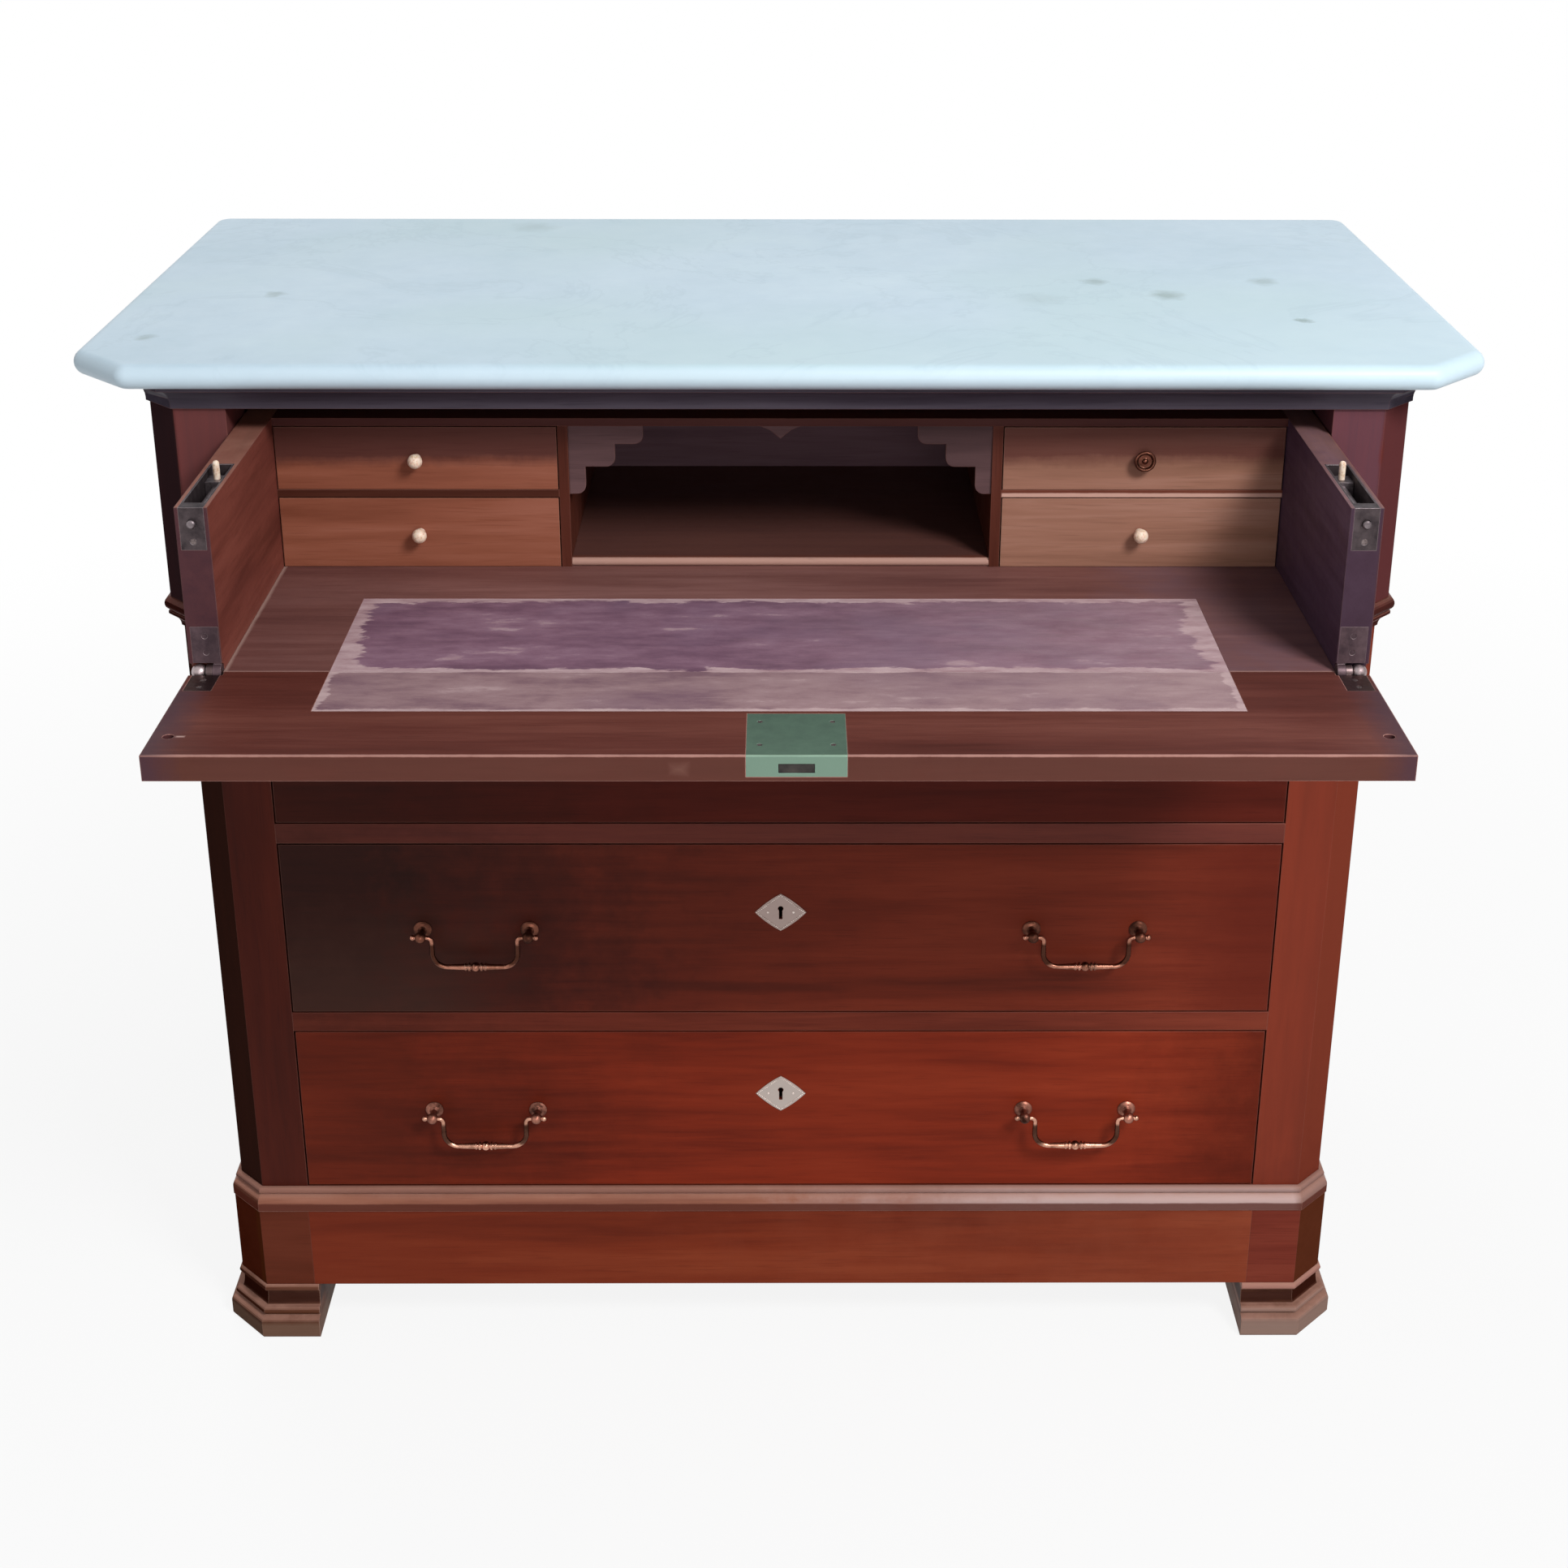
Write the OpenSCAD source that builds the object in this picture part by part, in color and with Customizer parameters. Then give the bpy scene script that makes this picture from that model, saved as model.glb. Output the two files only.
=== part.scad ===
// Secretary chest: a mahogany chest of three long drawers under a writing drawer with a fall front.
// Millimetres. X runs across the front, +Y to the back, +Z up. The writing drawer is drawn pulled
// out, with its fall front lying open. The origin is on the floor under the middle of the whole, and
// every depth below is counted from the front faces of the long drawers.

/* [Case] */
// Width of the lower case over its sides
case_w = 1070; // [960:5:1200]
// Depth of the case from the long drawers' faces to the back
case_d = 560; // [520:5:640]
// How far the upper section stands out past the lower one
step_out = 7.5; // [4:0.5:12]
// Width of each front post
post_w = 70.5; // [62:0.5:80]
// Depth of each front post
post_d = 60; // [50:1:75]
// Cant across each front corner
cant = 26; // [16:1:34]
// Thickness of the case sides
side_t = 20; // [16:1:26]
// Thickness of the boards of the back
back_t = 12; // [8:1:18]
// Number of boards in the back
back_boards = 6; // [4:1:9]

/* [Heights from the floor up] */
// Height of the feet
foot_h = 55; // [45:1:70]
// Height of the plinth between the feet and its moulding
plinth_h = 87; // [70:1:105]
// Height of the moulding on the plinth
plinth_moulding_h = 24; // [20:1:30]
// Opening of the lower long drawer
lower_opening_h = 176; // [150:1:200]
// Opening of the middle long drawer
middle_opening_h = 180; // [150:1:200]
// Opening of the upper long drawer
upper_opening_h = 182; // [150:1:200]
// Height of the rails between the long drawers
rail_h = 20; // [18:1:28]
// Height of the rail under the writing drawer
waist_h = 34; // [32:1:42]
// Opening of the writing drawer
writing_opening_h = 182; // [172:1:200]
// Height of the cove under the marble
cove_h = 22; // [16:1:28]
// Thickness of the marble
marble_t = 22; // [18:1:26]

/* [Marble] */
// Overhang past the upper section at each side
marble_side = 62; // [35:1:75]
// Overhang past the upper section at the front
marble_front = 29; // [26:1:50]
// Overhang past the back
marble_rear = 8; // [0:1:20]
// Cant across each front corner of the marble
marble_cant = 52; // [30:1:60]
// Radius of the marble's corners behind its rounded edge
marble_corner_r = 6; // [3:1:12]

/* [Plinth and feet] */
// How far the plinth stands out past the case
plinth_out = 8; // [6:0.5:12]
// Thickness of the plinth's front board
plinth_t = 22; // [16:1:28]
// Height of the moulding at the waist
waist_moulding_h = 29; // [26:1:31]
// Spread of the foot's base past the plinth
foot_spread = 13; // [9:1:18]
// Height of the foot's base
foot_base_h = 21; // [16:1:26]
// Depth of each foot from front to back
foot_d = 84; // [70:1:100]

/* [Writing drawer] */
// How far the drawer is pulled out at rest
pull_out = 218; // [160:2:260]
// Thickness of the drawer's sides
writing_side_t = 26; // [22:0.5:30]
// Height of the sides above the writing surface
writing_side_h = 138; // [128:1:146]
// Thickness of the fall front
flap_t = 20.5; // [18:0.5:24]
// Thickness of the fall front's tongue, which holds it level under the floor
tongue_t = 9; // [7:0.5:11]
// From the front of the sides to the small drawers
gallery_setback = 243; // [228:1:262]
// Thickness of the drawer's back
writing_back_t = 10; // [8:1:14]
// Width of the leather
leather_w = 719; // [600:1:800]
// Depth of the leather on the drawer's floor
leather_d = 163; // [120:1:180]
// Depth of the leather on the fall front
flap_leather_d = 78; // [50:1:80]
// Thickness of the leather
leather_t = 1; // [0.8:0.1:1.6]

/* [Gallery] */
// Width of the pigeonhole
pigeon_w = 373; // [320:1:420]
// Thickness of the upright partitions
partition_t = 9; // [7:0.5:12]
// Thickness of the shelf between the small drawers
shelf_t = 7; // [5:0.5:9]
// Thickness of the board over the gallery
gallery_top_t = 7; // [6:0.5:9]
// Thickness of the pigeonhole's floor
pigeon_floor_t = 8; // [6:0.5:10]
// Opening of the lower small drawers
lower_small_h = 65.5; // [58:0.5:70]
// Thickness of the small drawers' fronts
small_front_t = 14; // [10:1:18]
// Thickness of the small drawers' sides, backs and bottoms
small_side_t = 6; // [4:0.5:8]
// Diameter of the bone knobs
knob_d = 13; // [10:0.5:16]
// Diameter of the brass ring knob
ring_knob_d = 19; // [16:0.5:24]
// Reach of each bracket of the valance across the pigeonhole
bracket_w = 66; // [50:1:75]
// Drop of each bracket of the valance
bracket_h = 63; // [50:1:66]

/* [Long drawers] */
// Thickness of the long drawers' fronts
front_t = 20; // [18:1:24]
// Thickness of the long drawers' sides and backs
box_t = 12; // [9:0.5:15]
// Thickness of the long drawers' bottoms
box_floor_t = 7; // [5:0.5:10]
// From the middle of the front to the middle of each handle
handle_x = 285; // [240:1:320]
// Distance between a handle's two posts
post_spacing = 100; // [90:1:115]
// Drop of the handle's bail below its pivots
bail_drop = 31; // [28:1:38]
// Radius of the bail's arms
bail_r = 2.4; // [2:0.1:2.8]
// How far the bail's pivot stands off the drawer's face
pivot_out = 16; // [14:0.5:20]
// Width of the diamond escutcheons
diamond_w = 48; // [40:1:56]
// Height of the diamond escutcheons
diamond_h = 39; // [32:1:46]
// Height of the escutcheon's middle above the handles' pivots
diamond_up = 18; // [12:1:24]

/* [Locks, hinges and catches] */
// Width of the fall front's lock
lock_w = 75; // [60:1:90]
// Depth of the fall front's lock plate
lock_plate_d = 77; // [66:1:79]
// How far the lock stands to the right of the middle
lock_x = 12.5; // [-20:0.5:20]
// Travel of the locks' bolts
bolt_travel = 8; // [5:0.5:10]
// Radius of the hinges' knuckles
knuckle_r = 6.5; // [5.5:0.5:7]
// Radius of the hinges' pins
pin_r = 2.5; // [1.8:0.1:3]
// Length of the leaves of the hinges
leaf_l = 32; // [24:1:40]
// Width of the catches' channels
catch_w = 20; // [17:0.5:21]
// Length of the catches' channels
catch_l = 112; // [96:1:125]
// Radius of the catches' bolts
catch_bolt_r = 3.5; // [2.5:0.25:4]
// How far the catches' bolts stand out
catch_throw = 4; // [3:0.25:5]

/* [Fits] */
// Gap round the drawer fronts
gap = 1.5; // [1:0.1:2.5]
// Clearance of parts that run or turn on each other
run = 0.3; // [0.2:0.05:0.5]

/* [Hidden] */
$fn = 48;
e = 0.01;

// Levels above the floor
plinth_top = foot_h + plinth_h;
lower_z = plinth_top + plinth_moulding_h;
middle_z = lower_z + lower_opening_h + rail_h;
upper_z = middle_z + middle_opening_h + rail_h;
waist_z = upper_z + upper_opening_h;
waist_top = waist_z + waist_h;
case_top = waist_top + writing_opening_h;
marble_z = case_top + cove_h;

// Half widths and front faces of the two sections
half_w = case_w / 2;
upper_half = half_w + step_out;
upper_front = -step_out;
side_in = half_w - side_t;
opening_half = half_w - post_w;
upper_opening_half = opening_half + step_out;
back_in = case_d - back_t;

// Writing drawer: ys is the front of its sides and the line that the fall front turns on
flap_face = upper_front + gap;
ys = flap_face + flap_t - pull_out;
floor_z = waist_top + run + 0.2 + flap_t;
floor_t = flap_t - tongue_t - run;
writing_half = upper_opening_half - gap;
writing_in = writing_half - writing_side_t;
writing_base = waist_top + run;
writing_top = floor_z + writing_side_h;
writing_rear = back_in - 10 - pull_out;
flap_l = case_top - gap - floor_z;
tongue_l = floor_z - waist_top - gap;
middle_y = (ys - flap_l + case_d + marble_rear) / 2;

// Gallery of small drawers
gallery_y = ys + gallery_setback;
gallery_back = writing_rear - writing_back_t;
gallery_under = writing_top - gallery_top_t;
partition_in = pigeon_w / 2;
partition_out = partition_in + partition_t;
shelf_z = floor_z + lower_small_h;
small_gap = 1;

// Catches in the tops of the writing drawer's sides
catch_x = writing_half - writing_side_t / 2;
catch_z = writing_top - 13;
catch_wall = 1.5;
catch_h = 20;
catch_plate_h = 35;
catch_plate_t = 2;
button_y = ys + 91;

// Hinges of the fall front, from the inside of a drawer side outwards
knuckle_x = writing_in + 0.5;
knuckle_l = 6.5;
leaf_w = writing_side_t - 4;
leaf_t = 1.5;

// Long drawers
front_half = opening_half - gap;
drawer_depth = back_in - 20;
handle_in = post_spacing / 2;
ball_r = 5.5;
shank_r = 2.5;
stub_r = 0.85 * bail_r;
diamond_t = 1.2;
diamond_proud = 0.6;

// Locks: the fall front's keyhole from its edge, and the sizes of the long drawers' locks
keyhole_in = 36;
selvedge_w = 60;
selvedge_t = 1.5;
lock_case_w = 52;
bolt_w = 20;
bolt_t = 6;
bolt_l = 28;

// A reach past every part, for the blocks that the mouldings are cut from
far = 1500;

function unit(a, b) = (b - a) / norm(b - a);
function out(a, b) = let (d = unit(a, b)) [d[1], -d[0]];
function arc(c, r, a0, a1, n = 6) =
    [for (i = [0:n]) c + r * [cos(a0 + (a1 - a0) * i / n), sin(a0 + (a1 - a0) * i / n)]];
// The case's outline from the back of the left side round to the back of the right side
function outline(h, front, back, c) =
    [[-h, back], [-h, front + c], [-h + c, front], [h - c, front], [h, front + c], [h, back]];
function canted(x0, x1, front, back, c) =
    [[x0, front], [x1 - c, front], [x1, front + c], [x1, back], [x0, back]];
// A size to the nearest hundredth
function fine(v) = round(100 * v) / 100;
// A cant that keeps its distance when its faces move out by d
function wider_cant(c, d) = fine(c + d * (2 - sqrt(2)));

// Each material sets its pieces back so that the origin is under the middle of the whole
module material(hue) translate([0, -middle_y, 0]) color(hue) children();
module mahogany() material("#5a221b") children();
module inner_wood() material("#7a4533") children();
module plain_wood() material("#9c7449") children();
module marble() material("#c9dbe6") children();
module leather() material("#7f5f70") children();
module brass() material("#b08d57") children();
module steel() material("#6f6a68") children();
module bone() material("#e6d3ba") children();
module both_sides() {
    children();
    mirror([1, 0, 0]) children();
}
module box(x, y, z) translate([x[0], y[0], z[0]]) cube([x[1] - x[0], y[1] - y[0], z[1] - z[0]]);
module rod_x(x, y, z, r) translate([x[0], y, z]) rotate([0, 90, 0]) cylinder(r = r, h = x[1] - x[0]);
module rod_y(x, y, z, r) translate([x, y[1], z]) rotate([90, 0, 0]) cylinder(r = r, h = y[1] - y[0]);

// A block on a path that turns one way, with one profile on each of its sides. The profile's x is the
// distance out from the path and its y is the height. The block is cut off at left and at the path's end.
module moulded_block(path, profile, left = -far) {
    last = len(profile) - 1;
    section = concat([for (q = profile) [fine(q[0]), fine(q[1])]],
                     [[-far, profile[last][1]], [-far, profile[0][1]]]);
    intersection() {
        for_each_side(path) linear_extrude(2 * far, center = true) polygon(section);
        box([left, far], [-far, path[len(path) - 1][1]], [profile[0][1] - 1, profile[last][1] + 1]);
    }
}
module for_each_side(path) intersection_for(i = [0:len(path) - 2]) {
    n = out(path[i], path[i + 1]);
    middle = (path[i] + path[i + 1]) / 2;
    translate([middle[0], middle[1], 0]) rotate([90, 0, atan2(n[1], n[0])]) children();
}
// A moulding of one profile on the outside of a path, mitred at each corner
module moulding(path, profile) difference() {
    last = len(path) - 1;
    moulded_block(path, profile);
    translate([0, 0, profile[0][1] - 1])
        linear_extrude(profile[len(profile) - 1][1] + 2)
        polygon(concat([path[0] + [0, 1]], path, [path[last] + [0, 1]]));
}

// Case

// The marble: a slab with half-round edges, canted front corners and softened corners
module marble_top() {
    nose = marble_t / 2;
    inset = nose + marble_corner_r;
    corners = outline(upper_half + marble_side - inset, upper_front - marble_front + inset,
                      case_d + marble_rear - inset, marble_cant - inset * (2 - sqrt(2)));
    marble() hull() for (p = corners)
        translate([p[0], p[1], marble_z]) rotate_extrude($fn = 32) {
            square([marble_corner_r, marble_t]);
            translate([marble_corner_r, nose]) intersection() {
                circle(nose, $fn = 32);
                translate([0, -nose]) square([nose, marble_t]);
            }
        }
}

// The cove that carries the marble, round the front and both sides
module top_moulding() {
    fillet = 3;
    r = cove_h - 2 * fillet;
    profile = concat([[0, 0], [fillet, 0]], arc([fillet + r, fillet], r, 180, 90, 8),
                     [[fillet + r, cove_h], [0, cove_h]]);
    mahogany() translate([0, 0, case_top])
        moulding(outline(upper_half, upper_front, case_d, cant), profile);
}

// The frame under the marble, with the mortise for the fall front's bolt
module top_frame() {
    mortise_y = flap_face + flap_t / 2;
    plain_wood() difference() {
        translate([0, 0, case_top]) linear_extrude(cove_h)
            polygon(outline(upper_half, upper_front, case_d, cant));
        box([-side_in + 60, -70], [post_d, case_d - 70], [case_top - 1, marble_z + 1]);
        box([70, side_in - 60], [post_d, case_d - 70], [case_top - 1, marble_z + 1]);
        box([lock_x - 20, lock_x + 20], [mortise_y - 6, mortise_y + 6],
            [case_top - 1, case_top + bolt_travel + 2]);
    }
}

// The sides of the case, thicker in the upper section
module side_panels() {
    mahogany() both_sides() translate([0, case_d, 0]) rotate([90, 0, 0]) linear_extrude(case_d - post_d)
        polygon([[side_in, foot_h], [half_w, foot_h], [half_w, waist_top], [upper_half, waist_top],
                 [upper_half, case_top], [side_in, case_top]]);
}

// The back: upright boards between the sides, each with a small bevel on its outer edges
module back_panel() {
    w = 2 * side_in / back_boards;
    bevel = 3;
    plain_wood() for (i = [0:back_boards - 1])
        translate([-side_in + i * w, 0, foot_h]) linear_extrude(case_top - foot_h)
            polygon([[0.2, back_in], [w - 0.2, back_in], [w - 0.2, case_d - bevel],
                     [w - bevel, case_d], [bevel, case_d], [0.2, case_d - bevel]]);
}

// The front posts: canted, with the upper ones stepped out and a fine joint at the waist
module front_posts() {
    mahogany() both_sides() {
        translate([0, 0, foot_h]) linear_extrude(waist_top - foot_h)
            polygon(canted(opening_half, half_w, 0, post_d, cant));
        translate([0, 0, waist_top + run]) linear_extrude(case_top - waist_top - run)
            polygon(canted(upper_opening_half, upper_half, upper_front, post_d, cant));
    }
}

// The rails across the front. The upper three are mortised for the bolts below them.
module drawer_rails() {
    h = opening_half;
    mahogany() {
        box([-h, h], [0, post_d], [plinth_top, lower_z]);
        difference() {
            box([-h, h], [0, post_d], [middle_z - rail_h, middle_z]);
            rail_mortise(middle_z - rail_h);
        }
        difference() {
            box([-h, h], [0, post_d], [upper_z - rail_h, upper_z]);
            rail_mortise(upper_z - rail_h);
        }
        difference() {
            box([-h, h], [0, post_d], [waist_z, waist_top]);
            rail_mortise(waist_z);
        }
    }
}
module rail_mortise(z)
    box([-bolt_w / 2 - 3, bolt_w / 2 + 3], [(front_t - bolt_t) / 2 - 2, (front_t + bolt_t) / 2 + 2],
        [z - 1, z + bolt_travel + 2]);

// The moulding at the waist: a cove under a half-round bead, round the front and both sides
module waist_moulding() {
    bead_r = step_out / 2 + 3;
    neck = waist_moulding_h - 2 * bead_r;
    cove_r = neck - 4;
    profile = concat([[0, 0]], arc([2 + cove_r, 0], cove_r, 180, 110, 5),
                     [[cove_r, neck - 3], [cove_r, neck - 0.5]],
                     arc([step_out, neck + bead_r], bead_r, -80, 90, 10),
                     [[0, waist_moulding_h]]);
    mahogany() translate([0, 0, waist_top - waist_moulding_h])
        moulding(outline(half_w, 0, case_d, cant), profile);
}

// The runners and guides at the sides of all four drawers
module drawer_runners() {
    plain_wood() both_sides() {
        runner(opening_half, lower_z, 12);
        runner(opening_half, middle_z, rail_h);
        runner(opening_half, upper_z, rail_h);
        runner(upper_opening_half, waist_top, rail_h);
    }
}
module runner(guide_x, z, t) {
    translate([0, back_in, z]) rotate([90, 0, 0]) linear_extrude(back_in - post_d)
        polygon([[guide_x - 30, -t], [side_in, -t], [side_in, 25], [guide_x, 25], [guide_x, 0],
                 [guide_x - 30, 0]]);
}

module bottom_board() plain_wood()
    box([-side_in, side_in], [post_d, back_in], [plinth_top, lower_z - 12]);

// The plinth: a front board between the corner blocks, and thin boards on the sides
module plinth_panels() mahogany() {
    box([-opening_half, opening_half], [-plinth_out, plinth_t - plinth_out], [foot_h, plinth_top]);
    both_sides() box([half_w, half_w + plinth_out], [post_d, case_d], [foot_h, plinth_top]);
}
module plinth_blocks() mahogany() both_sides() translate([0, 0, foot_h])
    linear_extrude(plinth_h) difference() {
        polygon(canted(opening_half, half_w + plinth_out, -plinth_out, post_d,
                       wider_cant(cant, plinth_out)));
        polygon(canted(opening_half - 1, half_w, 0, post_d + 1, cant));
    }

// The moulding on the plinth: an ovolo under a small bead against the case
module plinth_moulding() {
    ovolo = plinth_out;
    bead_r = 3.5;
    z1 = plinth_moulding_h - 2 * bead_r;
    profile = concat([[0, 0], [ovolo + 1, 0]], arc([1, z1 - ovolo], ovolo, 0, 75, 7),
                     arc([2, z1 + bead_r], bead_r, -70, 90, 7), [[0, plinth_moulding_h]]);
    mahogany() translate([0, 0, plinth_top])
        moulding(outline(half_w, 0, case_d, cant), profile);
}

// A moulded foot: a spreading base, a bead, a cove and a bead under the plinth, on the outer sides of
// a block
module foot(path, left) {
    base = foot_spread + 4;
    bead_r = 4;
    neck = foot_base_h + 2 + 2 * bead_r;
    cap = foot_h - 2 * bead_r;
    profile = concat([[0, 0], [base - 1, 0], [base, 2]],
                     arc([base - 4, foot_base_h - 4], 4, 0, 90, 4),
                     [[base - 8, foot_base_h + 1], [base - 8, foot_base_h + 2]],
                     arc([base - 9, neck - bead_r], bead_r, -70, 70, 7),
                     [for (a = [0:15:90]) [base - 11 - (base - 14) * sin(a), cap - (cap - neck) * cos(a)]],
                     arc([3, cap + bead_r], bead_r, -70, 90, 8), [[0, foot_h]]);
    mahogany() moulded_block(path, profile, left);
}
// The front feet, flat on their inner side, where the plinth's board meets them
module feet_front() both_sides() {
    x0 = opening_half - 4;
    x1 = half_w + plinth_out - 4;
    c = wider_cant(cant, plinth_out - 4);
    y0 = 4 - plinth_out;
    foot([[x0, y0], [x1 - c, y0], [x1, y0 + c], [x1, y0 + foot_d]], x0);
}
module feet_back() both_sides() {
    side = 0.78 * foot_d;
    x1 = half_w + plinth_out - 4;
    foot([[x1 - side, case_d], [x1 - side, case_d - side], [x1, case_d - side], [x1, case_d]], -far);
}

// Writing drawer

// A side, cut for the fall front's tongue, the hinge, and the catch let into its top
module secretary_side() {
    mahogany() difference() {
        box([writing_in, writing_half], [ys + run, writing_rear], [writing_base, writing_top]);
        box([writing_in - 1, writing_half + 1], [ys - 1, ys + tongue_l + run],
            [writing_base - 1, floor_z - flap_t + tongue_t + run]);
        rod_x([writing_in - 1, writing_half + 1], ys, floor_z, knuckle_r + 2 * run);
        box([knuckle_x + 0.5, knuckle_x + 0.5 + leaf_w], [ys - 1, ys + run + leaf_t],
            [floor_z, floor_z + leaf_l + knuckle_r]);
        box([catch_x - catch_w / 2, catch_x + catch_w / 2], [ys - 1, ys + run + catch_l],
            [writing_top - catch_h, writing_top + 1]);
        box([catch_x - catch_w / 2, catch_x + catch_w / 2], [ys - 1, ys + run + catch_plate_t],
            [writing_top - catch_plate_h, writing_top + 1]);
    }
}
module secretary_side_right() secretary_side();
module secretary_side_left() mirror([1, 0, 0]) secretary_side();

// The floor of the drawer, sunk for its leather
module secretary_floor() inner_wood() difference() {
    box([-writing_in, writing_in], [ys + run, writing_rear], [floor_z - floor_t, floor_z]);
    box([-leather_w / 2, leather_w / 2], [ys - 1, ys + leather_d], [floor_z - leather_t, floor_z + 1]);
}
module secretary_back() plain_wood()
    box([-writing_in, writing_in], [gallery_back, writing_rear], [floor_z, gallery_under]);
module writing_leather() leather()
    box([-leather_w / 2, leather_w / 2], [ys + run, ys + leather_d], [floor_z - leather_t, floor_z]);

module gallery_partitions() inner_wood() both_sides()
    box([partition_in, partition_out], [gallery_y, gallery_back], [floor_z, gallery_under]);

// The board over the gallery, the shelves between the small drawers, and the pigeonhole's floor
// with its rounded front edge
module gallery_shelves() inner_wood() {
    r = pigeon_floor_t / 2;
    box([-writing_in, writing_in], [gallery_y, writing_rear], [gallery_under, writing_top]);
    both_sides() box([partition_out, writing_in], [gallery_y, gallery_back],
                     [shelf_z, shelf_z + shelf_t]);
    box([-partition_in, partition_in], [gallery_y + r, gallery_back], [floor_z, floor_z + 2 * r]);
    rod_x([-partition_in, partition_in], gallery_y + r, floor_z + r, r);
}

// The valance: a stepped and rounded bracket in each upper corner, and a small drop in the middle
module pigeonhole_valance() {
    tiers = [[1, 0.27], [0.62, 0.6], [0.22, 1]];
    r = 8;
    steps = [for (i = [0:2]) let (x = tiers[i][0] * bracket_w, z = tiers[i][1] * bracket_h,
                                  above = i == 0 ? 0 : tiers[i - 1][1] * bracket_h)
             for (p = concat([[x, -above]], arc([x - r, r - z], r, 0, -90, 6))) p];
    drop_w = 38;
    drop_h = 12;
    inner_wood() {
        both_sides() translate([partition_in, gallery_y + 8, gallery_under])
            rotate([90, 0, 0]) mirror([1, 0, 0]) linear_extrude(6)
            polygon(concat([[0, 0]], steps, [[0, -bracket_h]]));
        translate([0, gallery_y + 8, gallery_under]) rotate([90, 0, 0]) linear_extrude(6)
            polygon([[-drop_w / 2, 0], [drop_w / 2, 0], [drop_w / 4, -drop_h / 3], [0, -drop_h],
                     [-drop_w / 4, -drop_h / 3]]);
    }
}

// The catches: an open steel channel with a front plate that its bolt slides through
module catch_case() {
    x0 = catch_x - catch_w / 2;
    x1 = catch_x + catch_w / 2;
    y0 = ys + run;
    steel() {
        difference() {
            union() {
                box([x0, x1], [y0, y0 + catch_l], [writing_top - catch_h, writing_top]);
                box([x0, x1], [y0, y0 + catch_plate_t], [writing_top - catch_plate_h, writing_top]);
            }
            box([x0 + catch_wall, x1 - catch_wall], [y0 + 12, y0 + catch_l - catch_wall],
                [writing_top - catch_h + catch_wall, writing_top + 1]);
            box([x0 + catch_wall, x1 - catch_wall], [y0 + catch_plate_t, y0 + 13],
                [writing_top - catch_h + catch_wall, writing_top - catch_wall]);
            rod_y(catch_x, [y0 - 1, y0 + catch_plate_t + 1], catch_z, catch_bolt_r + run);
            rod_y(catch_x, [y0 - 1, y0 + 0.6], writing_top - catch_plate_h + 7, 2.6);
        }
    }
}
module catch_cases() both_sides() catch_case();

// The bolt of a catch, with the block that its button stands on
module catch_bolt() {
    half = catch_w / 2 - catch_wall - run;
    low = writing_top - catch_h + catch_wall + run;
    steel() {
        rod_y(catch_x, [ys - catch_throw + 1, button_y], catch_z, catch_bolt_r);
        translate([catch_x, ys - catch_throw + 1, catch_z]) rotate([90, 0, 0])
            cylinder(r1 = catch_bolt_r, r2 = catch_bolt_r - 1, h = 1);
        difference() {
            box([catch_x - half, catch_x + half], [button_y - 9, button_y + 9], [low, writing_top - 6]);
            translate([catch_x, button_y, writing_top - 9]) cylinder(r = 2.75, h = 10);
        }
    }
}
module catch_bolt_right() catch_bolt();
module catch_bolt_left() mirror([1, 0, 0]) catch_bolt();

// The bone button that draws the bolt back
module catch_button() bone() translate([catch_x, button_y, 0]) {
    translate([0, 0, writing_top - 9]) cylinder(r = 2.7, h = 16);
    translate([0, 0, writing_top + 7]) intersection() {
        sphere(2.7);
        cylinder(r = 3, h = 3);
    }
}
module catch_button_right() catch_button();
module catch_button_left() mirror([1, 0, 0]) catch_button();

// The fixed half of a fall front hinge: a leaf on the end of the side and a bored knuckle
module hinge_leaf() {
    x0 = knuckle_x;
    brass() difference() {
        union() {
            box([x0 + 0.5, x0 + 0.5 + leaf_w], [ys + run, ys + run + leaf_t],
                [floor_z + knuckle_r + 1, floor_z + knuckle_r + leaf_l]);
            box([x0 + 0.5, x0 + knuckle_l], [ys + run, ys + run + leaf_t],
                [floor_z + knuckle_r - 2, floor_z + knuckle_r + 2]);
            rod_x([x0, x0 + knuckle_l], ys, floor_z, knuckle_r);
        }
        rod_x([x0 - 1, x0 + knuckle_l + 1], ys, floor_z, pin_r + run);
        for (up = [10, 24])
            rod_y(x0 + 0.5 + leaf_w / 2, [ys + run - 1, ys + run + 0.5], floor_z + knuckle_r + up, 2.4);
    }
}
module hinge_leaves() both_sides() hinge_leaf();

// Fall front, drawn lying open

// The board, with its tongue, its hinge hollows, and its leather, lock, keyhole and strike holes
module fall_panel() {
    top = floor_z;
    under = floor_z - flap_t;
    strike = catch_z - floor_z;
    mahogany() difference() {
        union() {
            box([-writing_half, writing_half], [ys - flap_l, ys], [under, top]);
            box([-writing_half, writing_half], [ys - e, ys + tongue_l], [under, under + tongue_t]);
        }
        box([-leather_w / 2, leather_w / 2], [ys - flap_leather_d, ys + 1], [top - leather_t, top + 1]);
        both_sides() {
            rod_x([writing_in - 1, writing_half + 1], ys, top, knuckle_r + 2 * run);
            box([knuckle_x + 0.5, knuckle_x + 0.5 + leaf_w], [ys - knuckle_r - leaf_l, ys],
                [top - leaf_t, top + 1]);
            translate([catch_x, ys - strike, top - 9]) cylinder(r = catch_bolt_r + 0.8, h = 10);
        }
        translate([0, ys - flap_l, 0]) lock_space(top);
        translate([lock_x, ys - flap_l + keyhole_in, under - 1]) rotate([0, 0, 180])
            linear_extrude(flap_t - 8) keyhole();
    }
}
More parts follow.
